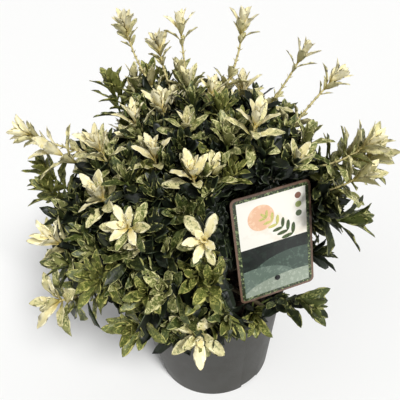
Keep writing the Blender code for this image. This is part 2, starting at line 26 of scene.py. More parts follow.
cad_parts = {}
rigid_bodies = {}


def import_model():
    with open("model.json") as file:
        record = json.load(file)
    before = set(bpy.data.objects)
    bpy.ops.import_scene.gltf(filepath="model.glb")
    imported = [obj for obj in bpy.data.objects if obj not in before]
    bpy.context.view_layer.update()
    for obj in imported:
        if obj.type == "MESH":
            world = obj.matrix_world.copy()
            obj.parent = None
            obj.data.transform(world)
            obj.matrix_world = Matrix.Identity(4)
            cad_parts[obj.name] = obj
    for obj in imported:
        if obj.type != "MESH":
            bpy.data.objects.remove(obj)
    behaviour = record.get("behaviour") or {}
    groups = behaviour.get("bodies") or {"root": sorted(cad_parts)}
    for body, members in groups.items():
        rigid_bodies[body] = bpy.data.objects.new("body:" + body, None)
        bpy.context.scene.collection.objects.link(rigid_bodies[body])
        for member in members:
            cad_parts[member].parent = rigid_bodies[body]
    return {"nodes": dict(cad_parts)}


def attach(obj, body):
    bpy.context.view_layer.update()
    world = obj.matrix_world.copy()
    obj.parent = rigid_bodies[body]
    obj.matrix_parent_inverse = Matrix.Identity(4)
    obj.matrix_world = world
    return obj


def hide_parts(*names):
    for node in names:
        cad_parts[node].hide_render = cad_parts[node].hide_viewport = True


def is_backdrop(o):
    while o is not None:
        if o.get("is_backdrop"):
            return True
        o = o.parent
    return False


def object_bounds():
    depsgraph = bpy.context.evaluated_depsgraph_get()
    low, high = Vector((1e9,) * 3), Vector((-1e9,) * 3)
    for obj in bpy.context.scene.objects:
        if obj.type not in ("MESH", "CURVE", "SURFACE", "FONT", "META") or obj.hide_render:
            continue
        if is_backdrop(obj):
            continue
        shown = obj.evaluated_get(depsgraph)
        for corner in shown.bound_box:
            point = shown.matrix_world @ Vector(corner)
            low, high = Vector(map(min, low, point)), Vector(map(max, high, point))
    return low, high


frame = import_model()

CAD_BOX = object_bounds()
LOG = logging.getLogger("spindle")
UP = Vector((0.0, 0.0, 1.0))
GOLDEN_TURN = 180.0 * (3.0 - math.sqrt(5.0))
MM = 0.001
# The colour output of a Mix node, whose name all its outputs share
MIXED = 2
# A rectangle's corners in order, each as its sides across and up
CORNERS = ((-1, -1), (1, -1), (1, 1), (-1, 1))

Colour = tuple[float, float, float, float]
Pair = tuple[float, float]
Place = tuple[float, float, float]
Shape = tuple[list[Vector], list[tuple[int, ...]]]


def linear(hex_colour: str) -> Colour:
    """Turns an sRGB hex colour into linear light.

    Args:
        hex_colour: The colour as "#rrggbb".

    Returns:
        Linear red, green and blue, with full opacity.
    """
    parts = [int(hex_colour[k : k + 2], 16) / 255 for k in (1, 3, 5)]
    light = [p / 12.92 if p <= 0.04045 else ((p + 0.055) / 1.055) ** 2.4 for p in parts]
    return light[0], light[1], light[2], 1.0


def feed(node: Node, **values: object) -> None:
    """Sets and links what goes into a node.

    Args:
        node: The node.
        **values: Each input by its identifier, or by its name with underscores for the
            spaces, or else an attribute. A socket is linked and a hex colour made linear.
    """
    for name, value in values.items():
        inputs = [s for s in node.inputs if name in (s.identifier, s.name.replace(" ", "_"))]
        if not inputs:
            setattr(node, name, value)
        elif isinstance(value, NodeSocket):
            node.id_data.links.new(value, inputs[0])
        else:
            inputs[0].default_value = linear(value) if isinstance(value, str) else value


def add_node(tree: NodeTree, kind: str, output: str | int, **values: object) -> NodeSocket:
    """Adds a node with its settings and links.

    Args:
        tree: The node tree to add to.
        kind: The node's Blender type, without the "ShaderNode" before it.
        output: The output that is asked for.
        **values: Its settings and links, as feed takes them.

    Returns:
        That output of the new node.
    """
    node = tree.nodes.new(f"ShaderNode{kind}")
    feed(node, **values)
    return node.outputs[output]


def new_material(name: str, **values: object) -> tuple[Material, Callable[..., NodeSocket], Node]:
    """Makes a non-metal Principled material with constants on the shader's own sockets.

    Args:
        name: The material's name.
        **values: Socket values, with underscores for the spaces in their names.

    Returns:
        The material, add_node for its node tree, and its shader.
    """
    made = bpy.data.materials.new(name)
    made.use_nodes = True
    shader = made.node_tree.nodes["Principled BSDF"]
    feed(shader, Metallic=0.0, **values)
    return made, partial(add_node, made.node_tree), shader


@dataclass(frozen=True)
class MouldedPolypropylene:
    """Polypropylene moulded in a grained tool: an even grey with a soft, broken sheen.

    Handling leaves paler scuffs, and dust and splashed mix dull it in cloudy patches.
    """

    colour: str = "#201f18"
    dusty: str = "#24221a"
    scuff: str = "#312f26"
    roughness: float = 0.46
    duller: float = 0.06
    ior: float = 1.49
    grain_mm: float = 0.7
    cloud_mm: float = 38.0
    scuff_mm: float = 9.0

    def make(self) -> Material:
        """Builds the material.

        Returns:
            The material.
        """
        made, add, shader = new_material("moulded_polypropylene", IOR=self.ior)
        place = add("TexCoord", "Object")
        cloud, streaks, grain = (
            add("TexNoise", "Fac", Scale=1 / (size * MM), Detail=detail, Roughness=rough, Vector=place)
            for size, detail, rough in (
                (self.cloud_mm, 4.0, 0.6), (self.scuff_mm, 6.0, 0.75), (self.grain_mm, 2.0, 0.5)
            )
        )
        dust = add("MapRange", "Result", From_Min=0.42, From_Max=0.68, Value=cloud,
                   interpolation_type="SMOOTHSTEP")
        dusted = add("Mix", MIXED, data_type="RGBA", A_Color=self.colour, B_Color=self.dusty, Factor=dust)
        worn = add("MapRange", "Result", From_Min=0.66, From_Max=0.74, To_Max=0.45, Value=streaks)
        scuffed = add("Mix", MIXED, data_type="RGBA", A_Color=dusted, B_Color=self.scuff, Factor=worn)
        dull = add("MapRange", "Result", To_Min=self.roughness, To_Max=self.roughness + self.duller,
                   Value=dust)
        bump = add("Bump", "Normal", Strength=0.5, Distance=0.0003, Height=grain)
        feed(shader, Base_Color=scuffed, Roughness=dull, Normal=bump)
        return made


@dataclass(frozen=True)
class PottingMix:
    """Moist peat and composted bark: nearly black, with browner crumbs and no shine."""

    dark: str = "#14100c"
    brown: str = "#33261a"
    crumb_mm: float = 2.2

    def make(self) -> Material:
        """Builds the material.

        Returns:
            The material.
        """
        made, add, shader = new_material("moist_potting_mix", Roughness=0.95)
        place = add("TexCoord", "Object")
        crumbs = add("TexVoronoi", "Color", Scale=1 / (self.crumb_mm * MM), Randomness=1.0, Vector=place)
        tone = add("SeparateColor", "Red", Color=crumbs)
        colour = add("Mix", MIXED, data_type="RGBA", A_Color=self.dark, B_Color=self.brown, Factor=tone)
        edges = crumbs.node.outputs["Distance"]
        bump = add("Bump", "Normal", Strength=0.9, Distance=0.001, Height=edges)
        feed(shader, Base_Color=colour, Normal=bump)
        return made


@dataclass(frozen=True)
class BarkChip:
    """Composted bark chips: split, fibrous flakes from reddish to dark brown."""

    pale: str = "#5a4230"
    dark: str = "#22180f"
    fibre_mm: float = 1.2

    def make(self) -> Material:
        """Builds the material.

        Returns:
            The material.
        """
        made, add, shader = new_material("composted_bark_chip", Roughness=0.9)
        place = add("TexCoord", "Object")
        fibre, patch = (
            add("TexNoise", "Fac", Scale=1 / (size * MM), Detail=detail, Vector=place)
            for size, detail in ((self.fibre_mm, 3.0), (8 * self.fibre_mm, 1.0))
        )
        both = add("Math", "Value", operation="MULTIPLY", Value=fibre, Value_001=patch)
        colour = add("Mix", MIXED, data_type="RGBA", A_Color=self.dark, B_Color=self.pale, Factor=both)
        feed(shader, Base_Color=colour)
        return made


@dataclass(frozen=True)
class SpindleBark:
    """Bark of young spindle wood: grey-brown, green where it is thin, with corky ridges."""

    ridge: str = "#8a7a5f"
    furrow: str = "#3a3222"
    green: str = "#5a6237"
    furrow_mm: float = 1.8
    drawn_out: float = 0.22
    patch_mm: float = 22.0

    def make(self) -> Material:
        """Builds the material.

        Returns:
            The material.
        """
        made, add, shader = new_material("spindle_bark", Roughness=0.8, IOR=1.45)
        place = add("TexCoord", "Object")
        along = add("Mapping", "Vector", Scale=(1.0, 1.0, self.drawn_out), Vector=place)
        ridges, patches = (
            add("TexNoise", "Fac", Scale=1 / (size * MM), Detail=detail, Roughness=rough, Vector=where)
            for size, detail, rough, where in (
                (self.furrow_mm, 4.0, 0.65, along), (self.patch_mm, 2.0, 0.5, place)
            )
        )
        wood = add("Mix", MIXED, data_type="RGBA", A_Color=self.furrow, B_Color=self.ridge, Factor=ridges)
        fresh = add("MapRange", "Result", From_Min=0.45, From_Max=0.65, To_Max=0.6, Value=patches)
        mixed = add("Mix", MIXED, data_type="RGBA", A_Color=wood, B_Color=self.green, Factor=fresh)
        bump = add("Bump", "Normal", Strength=0.6, Distance=0.0006, Height=ridges)
        feed(shader, Base_Color=mixed, Normal=bump)
        return made


@dataclass(frozen=True)
class TwigRind:
    """Smooth rind of a young twig: waxy, with a darker joint wherever a pair of leaves sat."""

    name: str
    colour: str
    joint: str
    joint_every_mm: float = 8.0

    def make(self) -> Material:
        """Builds the material, which reads the length along each twig from its UV map.

        Returns:
            The material.
        """
        made, add, shader = new_material(self.name, Roughness=0.5, IOR=1.45)
        along = add("SeparateXYZ", "Y", Vector=add("UVMap", "UV", uv_map="UVMap"))
        every = 1 / (self.joint_every_mm * MM)
        steps = add("Math", "Value", operation="MULTIPLY", Value=along, Value_001=every)
        step = add("Math", "Value", operation="FRACT", Value=steps)
        ring = add("MapRange", "Result", From_Min=0.16, From_Max=0.06, To_Max=0.75, Value=step)
        colour = add("Mix", MIXED, data_type="RGBA", A_Color=self.colour, B_Color=self.joint, Factor=ring)
        feed(shader, Base_Color=colour)
        return made


@dataclass(frozen=True)
class LeafBlade:
    """A leathery, waxy leaf blade, with its colours from the base to the tip and its flecks.

    Margin, middle and underside are plain colours of their own, and flecks break them up.
    Towards the foot each fades to the darker, golden base colour: painted shade, warmed as by
    light through the blade, where the leaf sits deep in its rosette.
    The real flecks, half a millimetre across, would be too fine to show, so they are
    drawn coarser.
    """

    name: str
    margin: str
    margin_fleck: str
    margin_share: float
    middle: str
    middle_fleck: str
    middle_share: float
    # The colour at the leaf's foot: painted shade, warmed as by light through the blade
    base: str
    underside: str
    roughness: float = 0.48
    fleck_mm: float = 2.7
    fleck_soft: float = 0.03
    tone_mm: float = 26.0

    def side(self, part: str, colour: str, fleck: str, share: float) -> Material:
        """Builds one of the blade's three materials.

        Args:
            part: The part's name.
            colour: Its colour towards the tip, as sRGB hex.
            fleck: Its flecks' colour, as sRGB hex.
            share: The share of it that flecks cover.

        Returns:
            The material.
        """
        made, add, shader = new_material(f"{self.name}_{part}", Roughness=self.roughness, IOR=1.45)
        place = add("TexCoord", "Object")
        along = add("SeparateXYZ", "Y", Vector=place.node.outputs["UV"])
        # Painted shade: the darker, golden base colour at the foot fades out by the middle of the blade
        rise = add("MapRange", "Result", From_Min=0.02, From_Max=0.5, Value=along,
                   interpolation_type="SMOOTHSTEP")
        blade = add("Mix", MIXED, data_type="RGBA", A_Color=self.base, B_Color=colour, Factor=rise)
        grains = add("TexNoise", "Fac", Scale=1 / (self.fleck_mm * MM), Detail=4.0, Roughness=0.72,
                     Distortion=0.6, Vector=place)
        # Most of the noise lies from 0.3 to 0.7, so the share is cut off within that
        edge = 0.5 + 0.2 * (1.0 - 2.0 * share)
        low, high = edge - self.fleck_soft, edge + self.fleck_soft
        specks = add("MapRange", "Result", From_Min=low, From_Max=high, To_Max=0.85, Value=grains)
        flecked = add("Mix", MIXED, data_type="RGBA", A_Color=blade, B_Color=fleck, Factor=specks)
        tones = add("TexNoise", "Fac", Scale=1 / (self.tone_mm * MM), Detail=1.0, Vector=place)
        shade = add("MapRange", "Result", From_Min=0.3, From_Max=0.7, To_Min=0.74, To_Max=1.16, Value=tones)
        shaded = add("HueSaturation", "Color", Color=flecked, Value=shade)
        bump = add("Bump", "Normal", Strength=0.25, Distance=0.0003, Height=grains)
        feed(shader, Base_Color=shaded, Normal=bump)
        return made

    def make(self) -> list[Material]:
        """Builds the blade's materials.

        Returns:
            The margin's, the middle's and the underside's.
        """
        return [
            self.side("margin", self.margin, self.margin_fleck, self.margin_share),
            self.side("middle", self.middle, self.middle_fleck, self.middle_share),
            self.side("underside", self.underside, self.margin_fleck, self.margin_share / 2),
        ]


@dataclass(frozen=True)
class PrintedCard:
    """Ink on a varnished plastic card: flat colour under a thin, even gloss."""

    name: str
    colour: str
    second: str
    pattern_mm: float

    def make(self) -> Material:
        """Builds the material, whose second ink breaks up the first in small patches.

        Returns:
            The material.
        """
        gloss = {"Roughness": 0.38, "IOR": 1.5, "Coat_Weight": 0.15}
        made, add, shader = new_material(self.name, **gloss)
        place, scale = add("TexCoord", "Object"), 1 / (self.pattern_mm * MM)
        cells = add("TexNoise", "Fac", Scale=scale, Detail=3.0, Roughness=0.7, Vector=place)
        patches = add("MapRange", "Result", From_Min=0.52, From_Max=0.62, Value=cells)
        colour = add("Mix", MIXED, data_type="RGBA", A_Color=self.colour, B_Color=self.second,
                     Factor=patches)
        feed(shader, Base_Color=colour)
        return made


def new_object(name: str, data: ID) -> Object:
    """Makes an object and links it to the scene.

    Args:
        name: The object's name.
        data: Its mesh, light or camera.

    Returns:
        The object.
    """
    made = bpy.data.objects.new(name, data)
    bpy.context.scene.collection.objects.link(made)
    return made


def deselect_all() -> None:
    """Leaves object mode's selection empty."""
    bpy.ops.object.select_all(action="DESELECT")


def select_only(obj: Object) -> None:
    """Selects one object and makes it the active one.

    Args:
        obj: The object.
    """
    deselect_all()
    obj.select_set(True)
    bpy.context.view_layer.objects.active = obj


def pick_faces(obj: Object, test: Callable[[bmesh.types.BMFace], bool]) -> None:
    """Selects, in edit mode, the faces that a test accepts.

    Args:
        obj: The object in edit mode.
        test: Tells whether a face is to be selected.
    """
    bpy.ops.mesh.select_all(action="DESELECT")
    bpy.ops.mesh.select_mode(type="FACE")
    shape = bmesh.from_edit_mesh(obj.data)
    for face in shape.faces:
        face.select_set(test(face))
    shape.select_flush_mode()
    bmesh.update_edit_mesh(obj.data)


def looks_up(face: bmesh.types.BMFace) -> bool:
    """Tells whether a face lies level and looks up."""
    return face.normal.z > 0.9


def start_flared(
    sides: int, low_radius: float, high_radius: float, bottom: float, tall: float
) -> Object:
    """Starts a flared plug from a cylinder, and leaves it in edit mode with its top picked.

    Args:
        sides: How many sides it has.
        low_radius: Its radius at the bottom.
        high_radius: Its radius at the top.
        bottom: The height of its bottom.
        tall: How tall it is.

    Returns:
        Its object.
    """
    deselect_all()
    bpy.ops.mesh.primitive_cylinder_add(
        vertices=sides, radius=low_radius, depth=tall, location=(0, 0, bottom + tall / 2)
    )
    plug = bpy.context.object
    bpy.ops.object.transform_apply(location=True, rotation=False, scale=False)
    bpy.ops.object.mode_set(mode="EDIT")
    pick_faces(plug, looks_up)
    widen(high_radius / low_radius)
    return plug


def widen(share: float) -> None:
    """Scales what is picked in edit mode about the pot's axis."""
    bpy.ops.transform.resize(value=(share, share, 1), center_override=(0, 0, 0))


def apply_all(obj: Object) -> None:
    """Applies an object's modifiers in their order.

    Args:
        obj: The object.
    """
    select_only(obj)
    for modifier in list(obj.modifiers):
        bpy.ops.object.modifier_apply(modifier=modifier.name)


def round_edges(obj: Object, width: float, segments: int) -> None:
    """Rounds an object's sharp edges.

    Args:
        obj: The object.
        width: How far the rounding reaches from each edge.
        segments: How many faces it is made of.
    """
    rounding = obj.modifiers.new("Edges", "BEVEL")
    rounding.width = width
    rounding.segments = segments
    rounding.limit_method = "ANGLE"
    apply_all(obj)


def add_relief(obj: Object, size_mm: float, high: float, **settings: object) -> None:
    """Adds a modifier that raises cloudy lumps on an object.

    Args:
        obj: The object.
        size_mm: The size of a lump.
        high: How far the lumps stand out, in metres.
        **settings: What else is set on the modifier.
    """
    noise = bpy.data.textures.new("lumps", "CLOUDS")
    noise.noise_scale = size_mm * MM
    relief = obj.modifiers.new("Relief", "DISPLACE")
    relief.texture = noise
    relief.strength = high
    for name, value in settings.items():
        setattr(relief, name, value)


def smooth_below(obj: Object, degrees: float) -> None:
    """Shades an object smooth, but for its edges that are sharper than an angle."""
    select_only(obj)
    bpy.ops.object.shade_smooth_by_angle(angle=math.radians(degrees))


def dress(
    obj: Object, name: str, materials: Iterable[Material], replaced: Iterable[str]
) -> None:
    """Names a finished piece, gives it its materials and ties it to the frame.

    Args:
        obj: The piece.
        name: The piece's name.
        materials: Its materials, in the order of its slots.
        replaced: The CAD nodes that it stands for.
    """
    obj.name = name
    obj.data.name = name
    while obj.data.materials:
        obj.data.materials.pop()
    for material in materials:
        obj.data.materials.append(material)
    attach(obj, "root")
    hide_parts(*replaced)
    LOG.info("%s: %d faces", name, len(obj.data.polygons))


def nodes_of(kind: str) -> list[str]:
    """Lists the CAD nodes whose names begin with a kind."""
    return [name for name in frame["nodes"] if name.startswith(kind)]


def bearing(turn: float, lean: float) -> Vector:
    """Gives a direction from its angles.

    Args:
        turn: Degrees from the front (-Y) towards +X.
        lean: Degrees from upright.

    Returns:
        The unit vector.
    """
    turn, lean = math.radians(turn), math.radians(lean)
    level = math.sin(lean)
    return Vector((level * math.sin(turn), -level * math.cos(turn), math.cos(lean)))


def squared(way: Vector) -> tuple[Vector, Vector]:
    """Gives two directions square to one and to each other.

    Args:
        way: The direction, as a unit vector.

    Returns:
        Both, as unit vectors.
    """
    across = way.orthogonal().normalized()
    return across, way.cross(across)


def swung(across: Vector, beside: Vector, angle: float) -> Vector:
    """Gives the direction at an angle, in radians, from one direction towards another."""
    return across * math.cos(angle) + beside * math.sin(angle)


def bent(start: Vector, middle: Vector, end: Vector, steps: int) -> list[Vector]:
    """Gives points along a quadratic curve.

    Args:
        start: Its first point.
        middle: The point that it is pulled towards.
        end: Its last point.
        steps: How many steps it is cut into.

    Returns:
        The points, one more than the steps.
    """
    shares = [k / steps for k in range(steps + 1)]
    return [start * (1 - t) ** 2 + middle * 2 * t * (1 - t) + end * t**2 for t in shares]


def step_lengths(line: list[Vector]) -> list[float]:
    """Measures each step of a line."""
    return [(b - a).length for a, b in pairwise(line)]


def spot_on(line: list[Vector], share: float) -> tuple[Vector, Vector]:
    """Finds a point on a line of even steps.

    Args:
        line: The line's points.
        share: How far along the line the point lies, as a share of its steps.

    Returns:
        The point, and the line's direction there.
    """
    spot = share * (len(line) - 1)
    low = int(spot)
    start, end = line[low : low + 2]
    return start.lerp(end, spot - low), (end - start).normalized()


def resampled(line: list[Vector], step: float) -> list[Vector]:
    """Cuts a line into even steps.

    Args:
        line: The line's points.
        step: The length of a step, near enough.

    Returns:
        The new points, from its first to its last.
    """
    lengths = step_lengths(line)
    count = max(2, round(sum(lengths) / step))
    found = [line[0]]
    for k in range(1, count):
        left = sum(lengths) * k / count
        piece = 0
        while left > lengths[piece] and piece < len(lengths) - 1:
            left -= lengths[piece]
            piece += 1
        found.append(line[piece].lerp(line[piece + 1], left / lengths[piece]))
    return [*found, line[-1]]


def joined_rings(rings: list[list[Vector]]) -> Shape:
    """Skins rings that have as many points each, and closes both ends.

    Args:
        rings: The rings in order.

    Returns:
        The points and faces of a closed shape.
    """
    sides = len(rings[0])
    points = [point for ring in rings for point in ring]
    faces = [tuple(reversed(range(sides)))]
    for low in range(0, len(points) - sides, sides):
        for side in range(sides):
            after = (side + 1) % sides
            faces.append((low + side, low + after, low + sides + after, low + sides + side))
    faces.append(tuple(range(len(points) - sides, len(points))))
    return points, faces


def tube(line: list[Vector], radii: list[float], sides: int) -> Shape:
    """Makes a closed tapering tube along a line.

    Args:
        line: The tube's middle line.
        radii: Its radius at each point of the line.
        sides: How many sides it has.

    Returns:
        Its points and faces.
    """
    rings = []
    across = None
    for index, (point, radius) in enumerate(zip(line, radii)):
        way = (line[min(index + 1, len(line) - 1)] - line[max(index - 1, 0)]).normalized()
        if across is None:
            across = way.orthogonal()
        across = (across - way * across.dot(way)).normalized()
        beside = way.cross(across)
        turns = [2 * math.pi * k / sides for k in range(sides)]
        rings.append([point + swung(across, beside, a) * radius for a in turns])
    return joined_rings(rings)


def joined_mesh(name: str, shapes: Iterable[Shape]) -> Object:
    """Joins many small shapes into one mesh.

    Args:
        name: The mesh's name.
        shapes: The shapes.

    Returns:
        The mesh's object.
    """
    points: list[Vector] = []
    faces: list[tuple[int, ...]] = []
    for more, skins in shapes:
        faces += [tuple(index + len(points) for index in skin) for skin in skins]
        points += more
    mesh = bpy.data.meshes.new(name)
    mesh.from_pydata(points, [], faces)
    return new_object(name, mesh)


@dataclass
class NurseryPot:
    """The moulded pot: tapered wall, rolled lip, eased foot, edge slots and drain holes."""

    height: float = 0.145
    rim_radius: float = 0.095
    base_radius: float = 0.074
    wall: float = 0.0016
    floor: float = 0.003
    lip_out: float = 0.0022
    lip_tall: float = 0.005
    sides: int = 128
    edge: float = 0.0007
    slot_first: float = 35.0
    slot_wide: float = 0.027
    slot_tall: float = 0.0045
    slot_deep: float = 0.006
    slot_count: int = 3
    drain_radius: float = 0.005
    drain_ring: float = 0.042
    drain_count: int = 6

    def outer_radius(self, height: float) -> float:
        """Gives the wall's outside radius at a height."""
        return self.base_radius + (self.rim_radius - self.base_radius) / self.height * height

    def inner_radius(self, height: float) -> float:
        """Gives the wall's inside radius at a height."""
        return self.outer_radius(height) - self.wall

    def shape_wall(self) -> Object:
        """Shapes the wall, floor and lip from a cylinder.

        Returns:
            The pot's object, before its holes are cut.
        """
        pot = start_flared(self.sides, self.base_radius, self.rim_radius, 0.0, self.height)
        bpy.ops.mesh.inset(thickness=self.wall)
        drop = self.height - self.floor
        bpy.ops.mesh.extrude_region_move(TRANSFORM_OT_translate={"value": (0, 0, -drop)})
        widen(self.inner_radius(self.floor) / (self.rim_radius - self.wall))
        under_lip = self.height - self.lip_tall
        bpy.ops.mesh.select_all(action="SELECT")
        bpy.ops.mesh.bisect(plane_co=(0, 0, under_lip), plane_no=(0, 0, 1))
        pick_faces(
            pot,
            lambda face: face.calc_center_median().z > under_lip
            and face.normal.dot(face.calc_center_median().xy.to_3d()) > 0.01,
        )
        bpy.ops.mesh.extrude_region_move()
        widen(1 + self.lip_out / self.rim_radius)
        bpy.ops.object.mode_set(mode="OBJECT")
        round_edges(pot, self.edge, 3)
        return pot

    def cut_holes(self, pot: Object) -> None:
        """Cuts the slots in the lower edge and the drain holes in the floor.

        Args:
            pot: The pot's object.
        """
        for k in range(self.slot_count):
            turn = self.slot_first + 360.0 * k / self.slot_count
            place = bearing(turn, 90.0) * self.base_radius
            deselect_all()
            bpy.ops.mesh.primitive_cube_add(
                size=1.0, location=place, rotation=(0, 0, math.radians(turn))
            )
            bpy.context.object.scale = (self.slot_wide, 2 * self.slot_deep, 2 * self.slot_tall)
            self.cut(pot, bpy.context.object)
        for k in range(self.drain_count):
            place = bearing(360.0 * (k + 0.5) / self.drain_count, 90.0) * self.drain_ring
            deselect_all()
            bpy.ops.mesh.primitive_cylinder_add(
                vertices=24, radius=self.drain_radius, depth=3 * self.floor, location=place
            )
            self.cut(pot, bpy.context.object)

    @staticmethod
    def cut(pot: Object, cutter: Object) -> None:
        """Cuts one piece from the pot and removes the cutter.

        Args:
            pot: The pot's object.
            cutter: What is cut away.
        """
        modifier = pot.modifiers.new("Cut", "BOOLEAN")
        modifier.operation = "DIFFERENCE"
        modifier.object = cutter
        apply_all(pot)
        bpy.data.objects.remove(cutter)

    def build(self) -> None:
        """Builds the pot and dresses it."""
        pot = self.shape_wall()
        self.cut_holes(pot)
        smooth_below(pot, 35)
        dress(pot, "nursery_pot", [MouldedPolypropylene().make()], ["pot"])


@dataclass
class PotFilling:
    """The potting mix: a plug with a crumbly top, and bark chips that lie on it."""

    pot: NurseryPot
    top: float = 0.127
    gap: float = 0.0006
    cells: int = 24
    cuts: int = 3
    lump_mm: float = 12.0
    lump_high: float = 0.0035
    crumb_mm: float = 3.0
    crumb_high: float = 0.0018
    lump_middle: float = 0.6
    chip_count: int = 520
    chip_seed: int = 3
    chip_tilt: float = 0.25
    chip_rough_mm: float = 0.3
    chip_heights_mm: Pair = (-0.4, 0.8)
    chip_ring: Pair = (0.025, 0.009)

    # The least and greatest half length, half width and half thickness of a chip
    CHIP_SIZES_MM = ((2.0, 6.0), (1.2, 3.2), (0.5, 1.3))

    def shape_plug(self) -> Object:
        """Shapes the plug from a cylinder whose top is a fine, uneven grid.

        Returns:
            Its object.
        """
        bottom = self.pot.floor + self.gap
        low, high = (self.pot.inner_radius(z) - self.gap for z in (bottom, self.top))
        plug = start_flared(4 * self.cells, low, high, bottom, self.top - bottom)
        bpy.ops.mesh.delete(type="ONLY_FACE")
        bpy.ops.mesh.select_mode(type="EDGE")
        shape = bmesh.from_edit_mesh(plug.data)
        for edge in shape.edges:
            edge.select_set(edge.is_boundary)
        bmesh.update_edit_mesh(plug.data)
        bpy.ops.mesh.fill_grid(span=self.cells)
        pick_faces(plug, looks_up)
        bpy.ops.mesh.subdivide(number_cuts=self.cuts)
        bpy.ops.object.mode_set(mode="OBJECT")
        return plug

    def make_uneven(self, plug: Object) -> None:
        """Raises lumps and crumbs on the top, but for its edge.

        Args:
            plug: The plug's object.
        """
        group = plug.vertex_groups.new(name="top")
        edge = self.pot.inner_radius(self.top) - 2 * MM
        points = [v for v in plug.data.vertices if v.co.z > self.top - MM]
        group.add([v.index for v in points if v.co.xy.length < edge], 1.0, "REPLACE")
        where = {"direction": "Z", "mid_level": self.lump_middle, "vertex_group": group.name}
        for size_mm, high in ((self.lump_mm, self.lump_high), (self.crumb_mm, self.crumb_high)):
            add_relief(plug, size_mm, high, **where)
        apply_all(plug)

    def chip(self, draw: random.Random) -> Shape:
        """Makes one bark chip, a rough block that lies on the top, clear of stem and wall.

        Args:
            draw: What its place and sizes are drawn from.

        Returns:
            Its points and faces.
        """
        from_stem, from_wall = self.chip_ring
        reach = self.pot.inner_radius(self.top) - from_wall
        away = math.sqrt(draw.uniform(from_stem**2, reach**2))
        foot = bearing(draw.uniform(0, 360), 90.0) * away
        foot.z = self.top + draw.uniform(*self.chip_heights_mm) * MM
        size = Vector([draw.uniform(*span) for span in self.CHIP_SIZES_MM])
        turn = Matrix.Rotation(draw.uniform(0, 2 * math.pi), 3, "Z")
        pose = turn @ Matrix.Rotation(draw.gauss(0, self.chip_tilt), 3, "X")
        rough = self.chip_rough_mm
        rings = [
            [
                foot + pose @ Vector((a * size.x, b * size.y, c * size.z)) * MM
                + Vector(draw.uniform(-rough, rough) * MM for _ in range(3))
                for a, b in CORNERS
            ]
            for c in (-1, 1)
        ]
        return joined_rings(rings)

    def build(self) -> None:
        """Builds the plug and its chips and dresses them."""
        plug = self.shape_plug()
        self.make_uneven(plug)
        smooth_below(plug, 40)
        dress(plug, "potting_mix_plug", [PottingMix().make()], ["potting_mix"])
        draw = random.Random(self.chip_seed)
        chips = joined_mesh("chips", (self.chip(draw) for _ in range(self.chip_count)))
        dress(chips, "bark_chips", [BarkChip().make()], ["potting_mix"])


@dataclass
class Mass:
    """Where one mass of foliage grows: its ring, its turn, its middle and its core."""

    ring: int
    turn: float
    middle: Vector
    core: float


class LeafKind(Enum):
    """The kinds of leaf, each with its blade's finish."""

    # The next to last colour of each is its base: painted shade at the leaf's foot
    IVORY = LeafBlade(
        "ivory_leaf", "#f8f1cc", "#c4be84", 0.10, "#f3e8b4", "#b0b270", 0.16, "#c9b252", "#f4ecc6"
    )
    CREAM = LeafBlade(
        "cream_leaf", "#f0e8bc", "#75804a", 0.24, "#d3cb94", "#606c38", 0.38, "#a39344", "#d2ca98"
    )
    SPECKLED = LeafBlade(
        "speckled_leaf", "#dcd69c", "#404a20", 0.30, "#616b34", "#d0ca90", 0.46, "#6a6d26", "#8f9158"
    )
    OLIVE = LeafBlade(
        "olive_leaf", "#bcb76a", "#424d1e", 0.26, "#566029", "#aeab5e", 0.38, "#5a5c20", "#70733a"
    )
    GREEN = LeafBlade(
        "green_leaf", "#a9a868", "#2f3a16", 0.26, "#384419", "#929459", 0.38, "#3e4718", "#50592c"
    )
    MARGINED = LeafBlade(
        "margined_leaf", "#9a9a5c", "#19200c", 0.32, "#1d250e", "#535a30", 0.30, "#272d11", "#343b1c"
    )
    # Painted shade in part: the dark leaves' own green is darkened nearly to black for the shaded inside
    DARK = LeafBlade(
        "dark_leaf", "#3c4728", "#0e150a", 0.34, "#0e150a", "#26311b", 0.26, "#131b0c", "#1a2313"
    )


@dataclass(frozen=True)
class LeafPair:
    """Two opposite leaves: their place behind the tip, spread, size and backward bend."""

    back: float
    spread: float
    size: float
    bend: float


# The pairs down a shoot: a tulip's stand up, a star's lie open, and a whip's bare stretch
# has only buds between its tuft and its foot
TULIP_PAIRS = tuple(starmap(LeafPair, (
    (0.0, 5, 0.62, 5), (0.0017, 12, 0.80, 12), (0.0039, 19, 0.92, 20), (0.0068, 26, 1.00, 28),
    (0.0110, 34, 1.05, 34), (0.0172, 43, 1.08, 36), (0.0250, 51, 1.08, 34), (0.0335, 58, 1.06, 32),
    (0.0430, 64, 1.05, 28), (0.0530, 68, 1.05, 26), (0.0640, 72, 1.05, 26), (0.0760, 74, 1.05, 26),
)))
STAR_PAIRS = tuple(starmap(LeafPair, (
    (0.0, 12, 0.62, 6), (0.0010, 28, 0.80, 14), (0.0022, 44, 0.94, 22), (0.0038, 56, 1.02, 28),
    (0.0060, 66, 1.06, 28), (0.0100, 68, 1.06, 28), (0.0150, 70, 1.06, 28), (0.0210, 70, 1.06, 26),
    (0.0280, 72, 1.06, 26), (0.0360, 74, 1.06, 26), (0.0450, 74, 1.06, 26), (0.0560, 74, 1.06, 26),
)))
WHIP_PAIRS = tuple(starmap(LeafPair, (
    (0.0, 5, 0.60, 5), (0.0016, 12, 0.80, 12), (0.0036, 19, 0.92, 20), (0.0064, 27, 1.00, 26),
    (0.0100, 34, 0.98, 30), (0.0145, 38, 0.86, 28), (0.0205, 36, 0.60, 20), (0.0270, 38, 0.20, 10),
    (0.0330, 38, 0.16, 10), (0.0390, 36, 0.22, 10), (0.0450, 40, 0.18, 10), (0.0510, 38, 0.40, 10),
    (0.0575, 42, 0.80, 20), (0.0650, 50, 1.05, 26), (0.0735, 58, 1.15, 28), (0.0830, 64, 1.20, 28),
    (0.0930, 68, 1.20, 26),
)))


